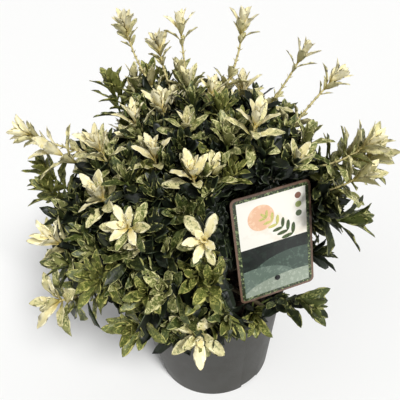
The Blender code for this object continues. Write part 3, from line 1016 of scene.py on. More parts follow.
@dataclass(frozen=True)
class Growth:
    """How a shoot is leafed.

    The kinds of its pairs run from the tip down and the last one goes on. The tip leans by
    a share of its direction's lean, or turns up to the light where that is None.
    """

    kinds: tuple[LeafKind, ...]
    pairs: tuple[LeafPair, ...] = TULIP_PAIRS
    lean_share: float | None = None
    size: float = 1.0
    wide: float = 1.0
    turn_step: float = 90.0


def kinds_down(letters: str) -> tuple[LeafKind, ...]:
    """Gives the kinds of leaf that the letters of a word stand for, each by its initial."""
    return tuple(next(k for k in LeafKind if k.name[0] == letter) for letter in letters)


class Habit(Enum):
    """The forms that shoots grow in, each pair's kind of leaf told by its initial."""

    WHIP = Growth(kinds_down("IIIICC"), WHIP_PAIRS, size=0.84, wide=1.15)
    TUFT = Growth(kinds_down("IIIIIC"), TULIP_PAIRS[:7], lean_share=0.75, wide=1.1)
    IVORY = Growth(kinds_down("IIIICCSSGMD"))
    STAR = Growth(kinds_down("IIIICSGMD"), STAR_PAIRS, 0.66, size=0.72, wide=1.2, turn_step=58.0)
    HANGING = Growth(kinds_down("ICICCSGMD"), STAR_PAIRS, 0.60, size=0.91, wide=1.2, turn_step=66.0)
    PLUME = Growth(kinds_down("CICCCSSSGMD"), lean_share=0.70, size=1.08)
    CREAM = Growth(kinds_down("CICSSSGMD"))
    MOTTLED = Growth(kinds_down("SSSSSGGGMD"))
    OLIVE = Growth(kinds_down("OOOOOOOGMD"))
    SPREADING = Growth(kinds_down("SGGGMMMD"), lean_share=0.84, size=1.12)
    GREEN = Growth(kinds_down("SSGGMMD"))
    SHADE = Growth(kinds_down("GMMD"))
    DEEP = Growth(kinds_down("D"))


@dataclass
class Shoot:
    """A leafy shoot: its middle line, how its leaves look, and which twig it grows from."""

    line: list[Vector]
    habit: Habit
    root_radius: float
    tip_radius: float
    size: float
    number: int
    parent: int = -1


@dataclass
class CrownRule:
    """The rule and the named sizes by which the solids' stem, boughs and shoots are placed."""

    heart: Place = (0.0, 0.0, 0.24)
    spread: float = 0.160
    rise: float = 0.140
    dip: float = 0.14
    dip_from: float = 70.0
    dip_full: float = 100.0
    lean_most: float = 112.0
    shoot_count: int = 69
    shoot_seed: int = 11
    shoot_jitter: float = 6.0
    reach_low: float = 0.92
    reach_high: float = 1.03
    shoot_apart: float = 0.027
    whip_lean: float = 42.0
    turned_up_share: float = 0.22
    turned_up_more: float = 0.42
    rosette_apart: float = 0.019
    mass_share: float = 0.62
    core: float = 0.019
    low_mass: Place = (37.0, 0.113, 0.164)
    low_core: float = 0.008
    knuckle_radius: float = 0.012
    knuckle_top: float = 0.182
    top_seat_ring: float = 0.0066
    bough_out: float = 0.35
    bough_steps: int = 14
    bend_back: float = 0.45
    label_centre: Place = (0.074, -0.053, 0.229)
    label_turn: float = 17.0
    label_tip_back: float = 8.5
    label_roll: float = 0.6
    label_wide: float = 0.090
    label_tall: float = 0.130
    label_to_core: float = 0.007
    label_to_stem: float = 0.010
    label_sight: Place = (-0.02, -0.10, 0.08)

    # Each ring of masses: how many, their lean, and the turns of the first and the last
    MASS_RINGS = ((3, 17.0, 60.0, 300.0), (6, 50.0, 78.0, 364.0), (8, 80.0, 2.0, 317.0),
                  (7, 108.0, 75.0, 339.0))
    # The height at which each ring's boughs leave the stem, None for its top
    TIER_HEIGHTS = (None, 0.1705, 0.160, 0.150)
    # The shoots that stand out: turn and lean of the way to the tip, its distance, its habit
    LEADERS = (
        (-136, 24, 0.213, Habit.WHIP), (-157, 24, 0.185, Habit.WHIP), (-176, 20, 0.200, Habit.WHIP),
        (137, 25, 0.206, Habit.WHIP), (111, 39, 0.200, Habit.WHIP), (100, 48, 0.200, Habit.WHIP),
        (77, 62, 0.190, Habit.PLUME), (77, 69, 0.187, Habit.PLUME), (79, 57, 0.181, Habit.PLUME),
        (-94, 57, 0.204, Habit.WHIP), (-80, 52, 0.176, Habit.TUFT), (-88, 65, 0.171, Habit.OLIVE),
        (-72, 72, 0.144, Habit.GREEN), (-58, 40, 0.160, Habit.IVORY), (-124, 37, 0.168, Habit.OLIVE),
        (-24, 58, 0.176, Habit.STAR), (-60, 76, 0.167, Habit.IVORY), (-51, 91, 0.184, Habit.HANGING),
        (-49, 92, 0.154, Habit.OLIVE), (-27, 98, 0.157, Habit.OLIVE), (-5, 103, 0.150, Habit.HANGING),
        (-12, 101, 0.136, Habit.SHADE), (5, 102, 0.136, Habit.SHADE), (42, 109, 0.146, Habit.SPREADING),
        (0, 61, 0.170, Habit.STAR), (40, 31, 0.162, Habit.IVORY), (48, 106, 0.145, Habit.SPREADING),
        (71, 86, 0.157, Habit.SPREADING), (69, 90, 0.149, Habit.SPREADING),
    )
    # The rosettes between: turn and lean of the way to the tip, share of the reach, habit
    ROSETTES = (
        (-83, 25, 0.95, Habit.IVORY), (-92, 13, 0.96, Habit.IVORY), (-30, 33, 0.95, Habit.IVORY),
        (-8, 20, 0.97, Habit.CREAM), (-133, 34, 1.02, Habit.CREAM), (-178, 14, 1.00, Habit.CREAM),
        (24, 30, 0.97, Habit.MOTTLED), (56, 14, 0.95, Habit.OLIVE), (83, 27, 0.94, Habit.SHADE),
        (131, 31, 0.98, Habit.IVORY), (-3, 40, 0.95, Habit.IVORY), (9, 40, 0.92, Habit.CREAM),
        (12, 48, 0.97, Habit.IVORY), (-48, 54, 0.98, Habit.IVORY), (-61, 48, 0.93, Habit.SHADE),
        (-66, 72, 0.95, Habit.SHADE), (-14, 79, 0.97, Habit.MOTTLED), (1, 77, 0.97, Habit.OLIVE),
        (9, 92, 0.96, Habit.SHADE), (82, 69, 1.20, Habit.PLUME), (73, 70, 1.10, Habit.PLUME),
        (85, 67, 1.10, Habit.PLUME), (67, 76, 0.96, Habit.CREAM), (61, 86, 0.98, Habit.SPREADING),
        (55, 92, 0.96, Habit.SPREADING), (45, 103, 1.00, Habit.SPREADING), (-40, 45, 0.96, Habit.GREEN),
        (-84, 70, 1.04, Habit.OLIVE), (-64, 91, 0.94, Habit.MOTTLED), (-57, 85, 1.00, Habit.GREEN),
        (-39, 80, 1.00, Habit.OLIVE), (-20, 61, 0.94, Habit.SHADE), (-30, 69, 0.95, Habit.GREEN),
        (-22, 50, 0.92, Habit.SHADE), (73, 49, 0.98, Habit.MOTTLED), (56, 50, 0.95, Habit.CREAM),
        (44, 40, 0.94, Habit.SHADE), (28, 26, 0.97, Habit.MOTTLED), (123, 59, 0.93, Habit.GREEN),
        (-14, 67, 0.95, Habit.GREEN), (-125, 35, 1.12, Habit.OLIVE), (-135, 31, 1.10, Habit.CREAM),
        (-145, 28, 1.08, Habit.OLIVE), (-158, 30, 1.02, Habit.GREEN), (-171, 26, 1.06, Habit.CREAM),
    )
    # The hollows: turn and lean of the way to each, its width in degrees, and the share of
    # the reach that it takes, where a negative one is a swelling
    HOLLOWS = (
        (-111, 46, 16, 0.19), (-84, 80, 10, 0.15), (-68, 57, 9, 0.18), (-67, 90, 9, 0.10),
        (-44, 106, 14, 0.22), (-30, 117, 14, 0.22), (158, 29, 12, 0.08), (120, 42, 14, 0.14),
        (97, 60, 13, 0.24), (118, 66, 12, 0.14), (-140, 30, 14, -0.10),
    )

    def label_pose(self) -> Matrix:
        """Gives the label's pose.

        Returns:
            Its matrix, with X along its width, Z up its height and -Y out of its face.
        """
        pose = Matrix.Translation(self.label_centre)
        for degrees, axis in (
            (self.label_turn, "Z"), (-self.label_tip_back, "X"), (-self.label_roll, "Y")
        ):
            pose = pose @ Matrix.Rotation(math.radians(degrees), 4, axis)
        return pose

    def label_away(self, way: Vector) -> float:
        """Tells how far the label is from the heart in a direction.

        Args:
            way: The direction, as a unit vector.

        Returns:
            The distance, infinite where the label is not that way.
        """
        to_label = self.label_pose().inverted()
        start = to_label @ Vector(self.heart)
        local = to_label.to_3x3() @ way
        if local.y >= 0:
            return math.inf
        away = -start.y / local.y
        hit = start + local * away
        wide = self.label_wide / 2 + self.label_to_stem
        tall = self.label_tall / 2 + self.label_to_stem
        return away if abs(hit.x) < wide and abs(hit.z) < tall else math.inf

    def reach(self, turn: float, lean: float) -> float:
        """Tells how far the shoots' stems reach from the heart.

        Args:
            turn: Degrees from the front towards +X.
            lean: Degrees from upright.

        Returns:
            The distance, which dips low down on the right.
        """
        level = math.sin(math.radians(lean)) / self.spread
        up = math.cos(math.radians(lean)) / self.rise
        right = max(0.0, math.sin(math.radians(turn)))
        low = min(1.0, max(0.0, (lean - self.dip_from) / (self.dip_full - self.dip_from)))
        return (1.0 - self.dip * right * low) / math.hypot(level, up)

    def hollowed(self, way: Vector) -> float:
        """Tells how much of its reach the crown has in a direction.

        Args:
            way: The direction, as a unit vector.

        Returns:
            The share, which is less in the hollows.
        """
        share = 1.0
        for turn, lean, wide, deep in self.HOLLOWS:
            off = math.degrees(way.angle(bearing(turn, lean))) / wide
            share -= deep * math.exp(-off * off)
        return share

    def depth(self, point: Vector) -> float:
        """Tells how far out in the crown a point is.

        Args:
            point: The point.

        Returns:
            Its distance from the heart as a share of the crown's reach there.
        """
        way = point - Vector(self.heart)
        if way.length < MM:
            return 0.0
        lean = math.degrees(way.angle(UP))
        turn = math.degrees(math.atan2(way.x, -way.y))
        return way.length / (self.reach(turn, lean) * self.hollowed(way))

    def masses(self) -> list[Mass]:
        """Lists every mass.

        Returns:
            The masses from the top ring to the lowest, then the one under the label.
        """
        heart = Vector(self.heart)
        found = []
        for ring, (count, lean, first, last) in enumerate(self.MASS_RINGS):
            for k in range(count):
                turn = first + (last - first) * k / (count - 1)
                way = bearing(turn, lean)
                before_label = self.label_away(way) - self.core - self.label_to_core
                away = min(self.reach(turn, lean) * self.mass_share, before_label)
                found.append(Mass(ring, turn, heart + way * away, self.core))
        turn, away, height = self.low_mass
        low = bearing(turn, 90.0) * away + UP * height
        found.append(Mass(len(self.MASS_RINGS) - 1, turn, low, self.low_core))
        return found

    def bough(self, mass: Mass) -> list[Vector]:
        """Gives a bough's middle line.

        Args:
            mass: The mass that it carries.

        Returns:
            The line from its seat on the stem to its mass's middle.
        """
        height = self.TIER_HEIGHTS[mass.ring]
        level = bearing(mass.turn, 90.0)
        first = UP if height is None else level
        start = level * (self.top_seat_ring if height is None else self.knuckle_radius)
        start.z = height or self.knuckle_top
        bend = start + first * (mass.middle - start).length * self.bough_out
        return bent(start, bend, mass.middle, self.bough_steps)

    def tip_lean(self, lean: float, habit: Habit | None) -> float:
        """Tells how far a shoot's tip leans.

        Args:
            lean: The lean of the direction that it grows in.
            habit: Its habit, if set: most turn up to the light.

        Returns:
            The tip's lean in degrees.
        """
        if habit is Habit.WHIP:
            return lean * min(1.0, (lean / self.whip_lean) ** 2)
        if habit is not None and habit.value.lean_share is not None:
            return lean * habit.value.lean_share
        return lean * (self.turned_up_share + self.turned_up_more * (lean / self.lean_most) ** 2)

    def places(self) -> list[tuple[Vector, Vector, Habit | None]]:
        """Lists the main shoots' tips, the leaders first and the rosettes last.

        Returns:
            Each one's place, its direction there and its habit, if that is set.
        """
        draw = random.Random(self.shoot_seed)
        heart = Vector(self.heart)
        places = list(self.LEADERS)
        full = 1 - math.cos(math.radians(self.lean_most))
        for k in range(self.shoot_count):
            level = 1 - (k + 0.5) / self.shoot_count * full
            jitter = draw.uniform(-self.shoot_jitter, self.shoot_jitter)
            lean = abs(math.degrees(math.acos(level)) + jitter)
            turn = k * GOLDEN_TURN + draw.uniform(-self.shoot_jitter, self.shoot_jitter)
            reach = self.reach(turn, lean) * draw.uniform(self.reach_low, self.reach_high)
            before_label = self.label_away(bearing(turn, lean)) - self.label_to_stem
            places.append((turn, lean, min(reach, before_label), None))
        found: list[tuple[Vector, Vector, Habit | None]] = []
        for turn, lean, reach, habit in places:
            way = bearing(turn, lean)
            if habit is None:
                reach *= min(1.0, self.hollowed(way))
            tip = heart + way * reach
            if all((tip - other[0]).length > self.shoot_apart for other in found):
                found.append((tip, bearing(turn, self.tip_lean(lean, habit)), habit))
        for turn, lean, share, habit in self.ROSETTES:
            tip = heart + bearing(turn, lean) * self.reach(turn, lean) * share
            found = [
                other
                for other in found
                if other[2] is not None or (other[0] - tip).length > self.rosette_apart
            ]
            found.append((tip, bearing(turn, self.tip_lean(lean, habit)), habit))
        return found


@dataclass(frozen=True)
class Ink:
    """One flat printed shape: its layer, its sizes, its middle on the card and its inks."""

    name: str
    layer: int
    wide: float
    tall: float
    x: float
    y: float
    colour: str
    second: str
    pattern_mm: float
    corner: float = 0.0
    round: bool = False
    cut: bool = False


@dataclass
class StickLabel:
    """The picture label: a round-cornered card with a plain printed design, and its peg.

    The print is of the plainest kind: a leafy surround, a pale panel with a disc, a sprig
    and three dots, and a dark panel of hills. It has no words.
    """

    rule: CrownRule
    thick: float = 0.0011
    margin: float = 0.0062
    ink: float = 0.00006
    round_sides: int = 48
    corner_segments: int = 6
    leaf_wide: float = 0.34
    sprig_turn: float = 136.0
    sprig_spread: float = 52.0
    sprig_pairs: int = 6
    sprig_dark_pairs: int = 3
    sprig_foot: Pair = (0.022, 0.0065)
    sprig_step: Pair = (-0.0058, 0.0056)
    sprig_leaf: float = 0.0135
    sprig_leaf_fall: float = 0.0009
    peg_up: float = -0.0435
    peg_sides: int = 32
    peg_radius: float = 0.0031
    peg_high: float = 0.0016
    peg_edge: float = 0.0007

    INKS = (
        Ink("card", 0, 0.090, 0.130, 0, 0, "#6f5747", "#5f493b", 6.0, 0.006),
        Ink("surround", 1, 0.0848, 0.1248, 0, 0, "#252f1c", "#8f9f6c", 2.6, 0.0042),
        Ink("pale_panel", 2, 0.0776, 0.0560, 0, 0.0308, "#ece9df", "#e6dfd1", 30.0),
        Ink("dark_panel", 2, 0.0776, 0.0616, 0, -0.0280, "#141a17", "#202b24", 7.0),
        Ink("disc", 3, 0.0300, 0.0300, -0.0130, 0.0360, "#e2b594", "#eac7a8", 9.0, round=True),
        Ink("dot_upper", 3, 0.0072, 0.0072, 0.0300, 0.0500, "#7a5546", "#8a6453", 3.0, round=True),
        Ink("dot_middle", 3, 0.0072, 0.0072, 0.0300, 0.0395, "#9aa565", "#86915a", 3.0, round=True),
        Ink("dot_lower", 3, 0.0072, 0.0072, 0.0300, 0.0290, "#4a5a38", "#5c6c46", 3.0, round=True),
        Ink("far_hill", 3, 0.110, 0.056, 0.022, -0.0400, "#3d4c43", "#56675b", 5.0, 0, True, True),
        Ink("mid_hill", 4, 0.100, 0.052, -0.026, -0.0500, "#5f6f63", "#77877a", 5.0, 0, True, True),
        Ink("near_hill", 5, 0.120, 0.040, 0.018, -0.0600, "#8f9a8a", "#a7b0a0", 4.0, 0, True, True),
    )

    def start_flat(self, wide: float, tall: float, round_shape: bool) -> Object:
        """Starts a flat shape about the middle of the card and leaves it in edit mode.

        Args:
            wide: Its width.
            tall: Its height.
            round_shape: True for a disc, False for a rectangle.

        Returns:
            The shape's object.
        """
        deselect_all()
        if round_shape:
            bpy.ops.mesh.primitive_circle_add(
                vertices=self.round_sides, radius=0.5, fill_type="NGON", location=(0, 0, 0)
            )
        else:
            bpy.ops.mesh.primitive_plane_add(size=1.0, location=(0, 0, 0))
        bpy.ops.object.mode_set(mode="EDIT")
        bpy.ops.mesh.select_all(action="SELECT")
        bpy.ops.transform.resize(value=(wide, tall, 1), center_override=(0, 0, 0))
        return bpy.context.object

    def thicken(self, layer: int) -> None:
        """Gives the flat shape in edit mode its layer's height and thickness.

        Args:
            layer: The layer of ink that it is, or 0 for the card.
        """
        deep = self.ink if layer else self.thick
        bpy.ops.mesh.select_all(action="SELECT")
        bpy.ops.transform.translate(value=(0, 0, self.thick / 2 + self.ink * layer))
        bpy.ops.mesh.extrude_region_move(TRANSFORM_OT_translate={"value": (0, 0, -deep)})
        bpy.ops.mesh.select_all(action="SELECT")
        bpy.ops.mesh.normals_make_consistent(inside=False)
        bpy.ops.object.mode_set(mode="OBJECT")

    def print_shape(self, ink: Ink) -> Object:
        """Makes one printed shape of the card.

        Args:
            ink: What is printed.

        Returns:
            The shape's object, lying flat.
        """
        flat = self.start_flat(ink.wide, ink.tall, ink.round)
        if ink.corner:
            bpy.ops.mesh.bevel(offset=ink.corner, segments=self.corner_segments, affect="VERTICES")
        bpy.ops.transform.translate(value=(ink.x, ink.y, 0))
        if ink.cut:
            side = self.rule.label_wide / 2 - self.margin
            foot = self.rule.label_tall / 2 - self.margin
            for away, far in (((1, 0, 0), side), ((-1, 0, 0), side), ((0, -1, 0), foot)):
                place = tuple(far * part for part in away)
                bpy.ops.mesh.select_all(action="SELECT")
                bpy.ops.mesh.bisect(plane_co=place, plane_no=away, clear_outer=True)
        self.thicken(ink.layer)
        return flat

    def sprig(self, leaves: list[tuple[float, float, float, float]], layer: int) -> Object:
        """Copies one flat printed leaf to each place along a sprig.

        Args:
            leaves: Each leaf's foot across and up the card, its turn and its length.
            layer: The layer of ink that they are.

        Returns:
            The leaves as one object.
        """
        pattern = self.start_flat(1.0, self.leaf_wide, True)
        bpy.ops.transform.translate(value=(0.5, 0, 0))
        self.thicken(layer)
        for x, y, turn, length in leaves:
            leaf = new_object("leaf", pattern.data.copy())
            leaf.matrix_world = (
                Matrix.Translation((x, y, 0))
                @ Matrix.Rotation(math.radians(turn), 4, "Z")
                @ Matrix.Diagonal((length, length, 1, 1))
            )
            leaf.select_set(True)
        pattern.select_set(False)
        bpy.context.view_layer.objects.active = leaf
        bpy.ops.object.transform_apply(location=True, rotation=True, scale=True)
        bpy.ops.object.join()
        bpy.data.objects.remove(pattern)
        return bpy.context.object

    def sprig_leaves(self) -> tuple[list[tuple[float, float, float, float]], ...]:
        """Lists the leaves that stand in pairs up a slanting sprig.

        Returns:
            The dark leaves of its lower half, and the pale ones of its upper half and tip.
        """
        dark, pale = [], []
        for k in range(self.sprig_pairs):
            x, y = (foot + step * k for foot, step in zip(self.sprig_foot, self.sprig_step))
            size = self.sprig_leaf - self.sprig_leaf_fall * k
            half = dark if k < self.sprig_dark_pairs else pale
            for side in (-self.sprig_spread, self.sprig_spread):
                half.append((x, y, self.sprig_turn + side, size))
        pale.append((x, y, self.sprig_turn, size))
        return dark, pale

    def place(self, piece: Object) -> None:
        """Stands a piece of the label up in its place, and applies that to its mesh.

        Args:
            piece: The piece, lying flat.
        """
        select_only(piece)
        piece.matrix_world = self.rule.label_pose() @ Matrix.Rotation(math.pi / 2, 4, "X")
        bpy.ops.object.transform_apply(location=True, rotation=True, scale=True)

    def peg(self) -> Object:
        """Shapes the peg's round, domed head on the card's face.

        Returns:
            Its object, lying flat.
        """
        deselect_all()
        bpy.ops.mesh.primitive_cylinder_add(
            vertices=self.peg_sides, radius=self.peg_radius, depth=self.peg_high, location=(0, 0, 0)
        )
        head = bpy.context.object
        bpy.ops.object.mode_set(mode="EDIT")
        middle = self.thick / 2 + 6 * self.ink + self.peg_high / 2
        bpy.ops.transform.translate(value=(0, self.peg_up, middle))
        bpy.ops.object.mode_set(mode="OBJECT")
        round_edges(head, self.peg_edge, 4)
        smooth_below(head, 40)
        return head

    def build(self) -> None:
        """Builds the card, its print and its peg and dresses them."""
        dark, pale = self.sprig_leaves()
        made = [
            (self.print_shape(ink), ink.name, ink.colour, ink.second, ink.pattern_mm)
            for ink in self.INKS
        ]
        made.append((self.sprig(dark, 4), "dark_sprig", "#33421f", "#556a30", 2.0))
        made.append((self.sprig(pale, 5), "pale_sprig", "#c7c070", "#98a055", 2.0))
        for piece, name, first, second, pattern_mm in made:
            self.place(piece)
            finish = PrintedCard(f"print_{name}", first, second, pattern_mm)
            dress(piece, f"label_{name}", [finish.make()], ["label_card"])
        head = self.peg()
        self.place(head)
        plastic = PrintedCard("dark_moulded_peg", "#101112", "#1a1b1d", 1.5).make()
        dress(head, "label_peg", [plastic], [])
        stick = frame["nodes"]["label_stick"].data.materials
        stick.clear()
        stick.append(plastic)


def tapered(radius: float, fall: float, steps: int) -> list[float]:
    """Lists the radii of a line that thins evenly.

    Args:
        radius: The first radius.
        fall: How much less the last one is.
        steps: How many steps the line has.

    Returns:
        The radii, one more than the steps.
    """
    return [radius - fall * k / steps for k in range(steps + 1)]


@dataclass
class Wood:
    """The knuckled stem, its root flare and its boughs, fused and given bark relief."""

    rule: CrownRule
    foot: float = 0.1273
    flare: float = 0.0185
    root_count: int = 5
    root_steps: int = 6
    root_radius: float = 0.0052
    root_fall: float = 0.003
    bough_root: float = 0.0036
    bough_end: float = 0.0019
    grain: float = 0.00115
    relief_mm: float = 3.5
    relief_high: float = 0.0009

    def limbs(self) -> list[Iterable[tuple[Vector, float]]]:
        """Lists the limbs.

        Returns:
            The stem, its roots and its boughs, each as its line's points with their radii.
        """
        stem = (
            (0, 0, self.foot, self.flare * 0.86),
            (0, 0, self.foot + 0.006, self.flare * 0.72),
            (0.0004, 0, self.foot + 0.015, 0.0118),
            (0.0006, -0.0003, 0.160, 0.0108),
            (0, 0, self.rule.knuckle_top - 0.001, 0.0102),
        )
        found = [[(Vector(place), radius) for *place, radius in stem]]
        for k in range(self.root_count):
            out = bearing(360.0 * (k + 0.5) / self.root_count, 90.0)
            start, bend, end = (
                UP * (self.foot + up) + out * away
                for up, away in ((0.018, 0.006), (0.006, 0.011), (0.0022, self.flare))
            )
            radii = tapered(self.root_radius, self.root_fall, self.root_steps)
            found.append(zip(bent(start, bend, end, self.root_steps), radii))
        for mass in self.rule.masses():
            line = self.rule.bough(mass)
            fall = self.bough_root - self.bough_end
            found.append(zip(line, tapered(self.bough_root, fall, len(line) - 1)))
        return found

    def build(self) -> None:
        """Builds the wood from curves and dresses it."""
        deselect_all()
        bpy.ops.curve.primitive_nurbs_path_add()
        wood = bpy.context.object
        curve = wood.data
        curve.splines.clear()
        for limb in map(list, self.limbs()):
            spline = curve.splines.new("POLY")
            spline.points.add(len(limb) - 1)
            for point, (place, radius) in zip(spline.points, limb):
                point.co = (*place, 1.0)
                point.radius = radius
        curve.dimensions = "3D"
        curve.bevel_depth = 1.0
        curve.bevel_resolution = 3
        curve.use_fill_caps = True
        select_only(wood)
        bpy.ops.object.convert(target="MESH")
        wood = bpy.context.object
        wood.data.remesh_voxel_size = self.grain
        bpy.ops.object.voxel_remesh()
        add_relief(wood, self.relief_mm, self.relief_high)
        apply_all(wood)
        bpy.ops.object.shade_smooth()
        nodes = ["main_stem", *nodes_of("bough_")]
        dress(wood, "stem_and_boughs", [SpindleBark().make()], nodes)


Measured = tuple[BVHTree, Vector, float]


class Crowding:
    """What stands in the crown's space already, to test each new twig and leaf against."""

    cell = 0.032

    def __init__(self) -> None:
        """Starts with nothing in the way."""
        self.near: dict[tuple[int, ...], list[tuple]] = defaultdict(list)
        self.fixed: list[tuple] = []

    @staticmethod
    def measured(shape: Shape) -> Measured:
        """Measures a shape.

        Args:
            shape: Its points and faces.

        Returns:
            Its search tree, its middle and its reach from there.
        """
        points, faces = shape
        middle = sum(points, Vector()) / len(points)
        reach = max((point - middle).length for point in points)
        return BVHTree.FromPolygons(points, faces), middle, reach

    def cell_of(self, place: Vector) -> tuple[int, ...]:
        """Tells which cell of space a place is in."""
        return tuple(int(math.floor(value / self.cell)) for value in place)

    def keep_out(self, shape: Shape, closed: bool) -> None:
        """Adds something large that nothing may touch.

        Args:
            shape: Its points and faces.
            closed: True if it is convex and closed, so that nothing may be inside it either.
        """
        points, faces = shape
        tree, middle, reach = self.measured(shape)
        sides = []
        for face in faces if closed else ():
            across = normal([points[index] for index in face])
            away = across.dot(points[face[0]])
            turned = 1.0 if across.dot(middle) < away else -1.0
            sides.append((across * turned, away * turned))
        self.fixed.append((tree, middle, reach, sides))

    def add(self, shape: Shape, owner: int) -> None:
        """Adds a small piece.

        Args:
            shape: Its points and faces.
            owner: The number of the shoot that it belongs to.
        """
        tree, middle, reach = self.measured(shape)
        self.near[self.cell_of(middle)].append((tree, middle, reach, owner))

    def blocked(self, piece: Measured) -> bool:
        """Tells whether a piece meets one of the large things or is inside it.

        Args:
            piece: The new piece, measured.

        Returns:
            True if it does.
        """
        tree, middle, reach = piece
        for other, other_middle, other_reach, sides in self.fixed:
            if (other_middle - middle).length > other_reach + reach:
                continue
            if sides and all(across.dot(middle) < away for across, away in sides):
                return True
            if tree.overlap(other):
                return True
        return False

    def clashes(self, shape: Shape, friends: tuple[int, ...]) -> bool:
        """Tells whether a shape meets anything.

        Args:
            shape: The new piece.
            friends: The shoots whose pieces it may touch.

        Returns:
            True if it meets something else.
        """
        piece = tree, middle, reach = self.measured(shape)
        cell = self.cell_of(middle)
        for step in product((-1, 0, 1), repeat=3):
            for other, other_middle, other_reach, owner in self.near.get(
                tuple(map(sum, zip(cell, step))), ()
            ):
                close = (other_middle - middle).length < other_reach + reach
                if close and owner not in friends and tree.overlap(other):
                    return True
        return self.blocked(piece)


@dataclass
class Leaf:
    """One leaf: where it is fixed, how it lies, its size and its kind."""

    base: Vector
    way: Vector
    facing: Vector
    length: float
    wide: float
    bend: float
    fold: float
    kind: LeafKind

    # The stand-in's widest place as a share of its length, and half its thickness
    WIDEST_AT = 0.55
    HALF_THICK = 0.0004

    def outline(self, share: float = 1.0) -> Shape:
        """Gives the leaf's eight-faced stand-in, for the test of what it touches.

        Args:
            share: The share of its length and width that the stand-in takes.

        Returns:
            Its points and faces.
        """
        side = self.way.cross(self.facing).normalized()
        half = math.radians(self.bend) * 0.5
        middle = self.base + self.way * self.length * self.WIDEST_AT - self.facing * (
            self.length * self.WIDEST_AT * math.tan(half * 0.5)
        )
        chord = share * self.length * (math.sin(half) / half if half > 1e-4 else 1.0)
        tip = self.base + (self.way * math.cos(half) - self.facing * math.sin(half)) * chord
        up = self.facing * self.HALF_THICK
        across = side * self.wide / 2 * share
        points = [self.base, tip, middle + across, middle - across, middle + up, middle - up]
        faces = [
            (start, end, face)
            for face in (4, 5)
            for start, end in ((0, 2), (2, 1), (1, 3), (3, 0))
        ]
        return points, faces


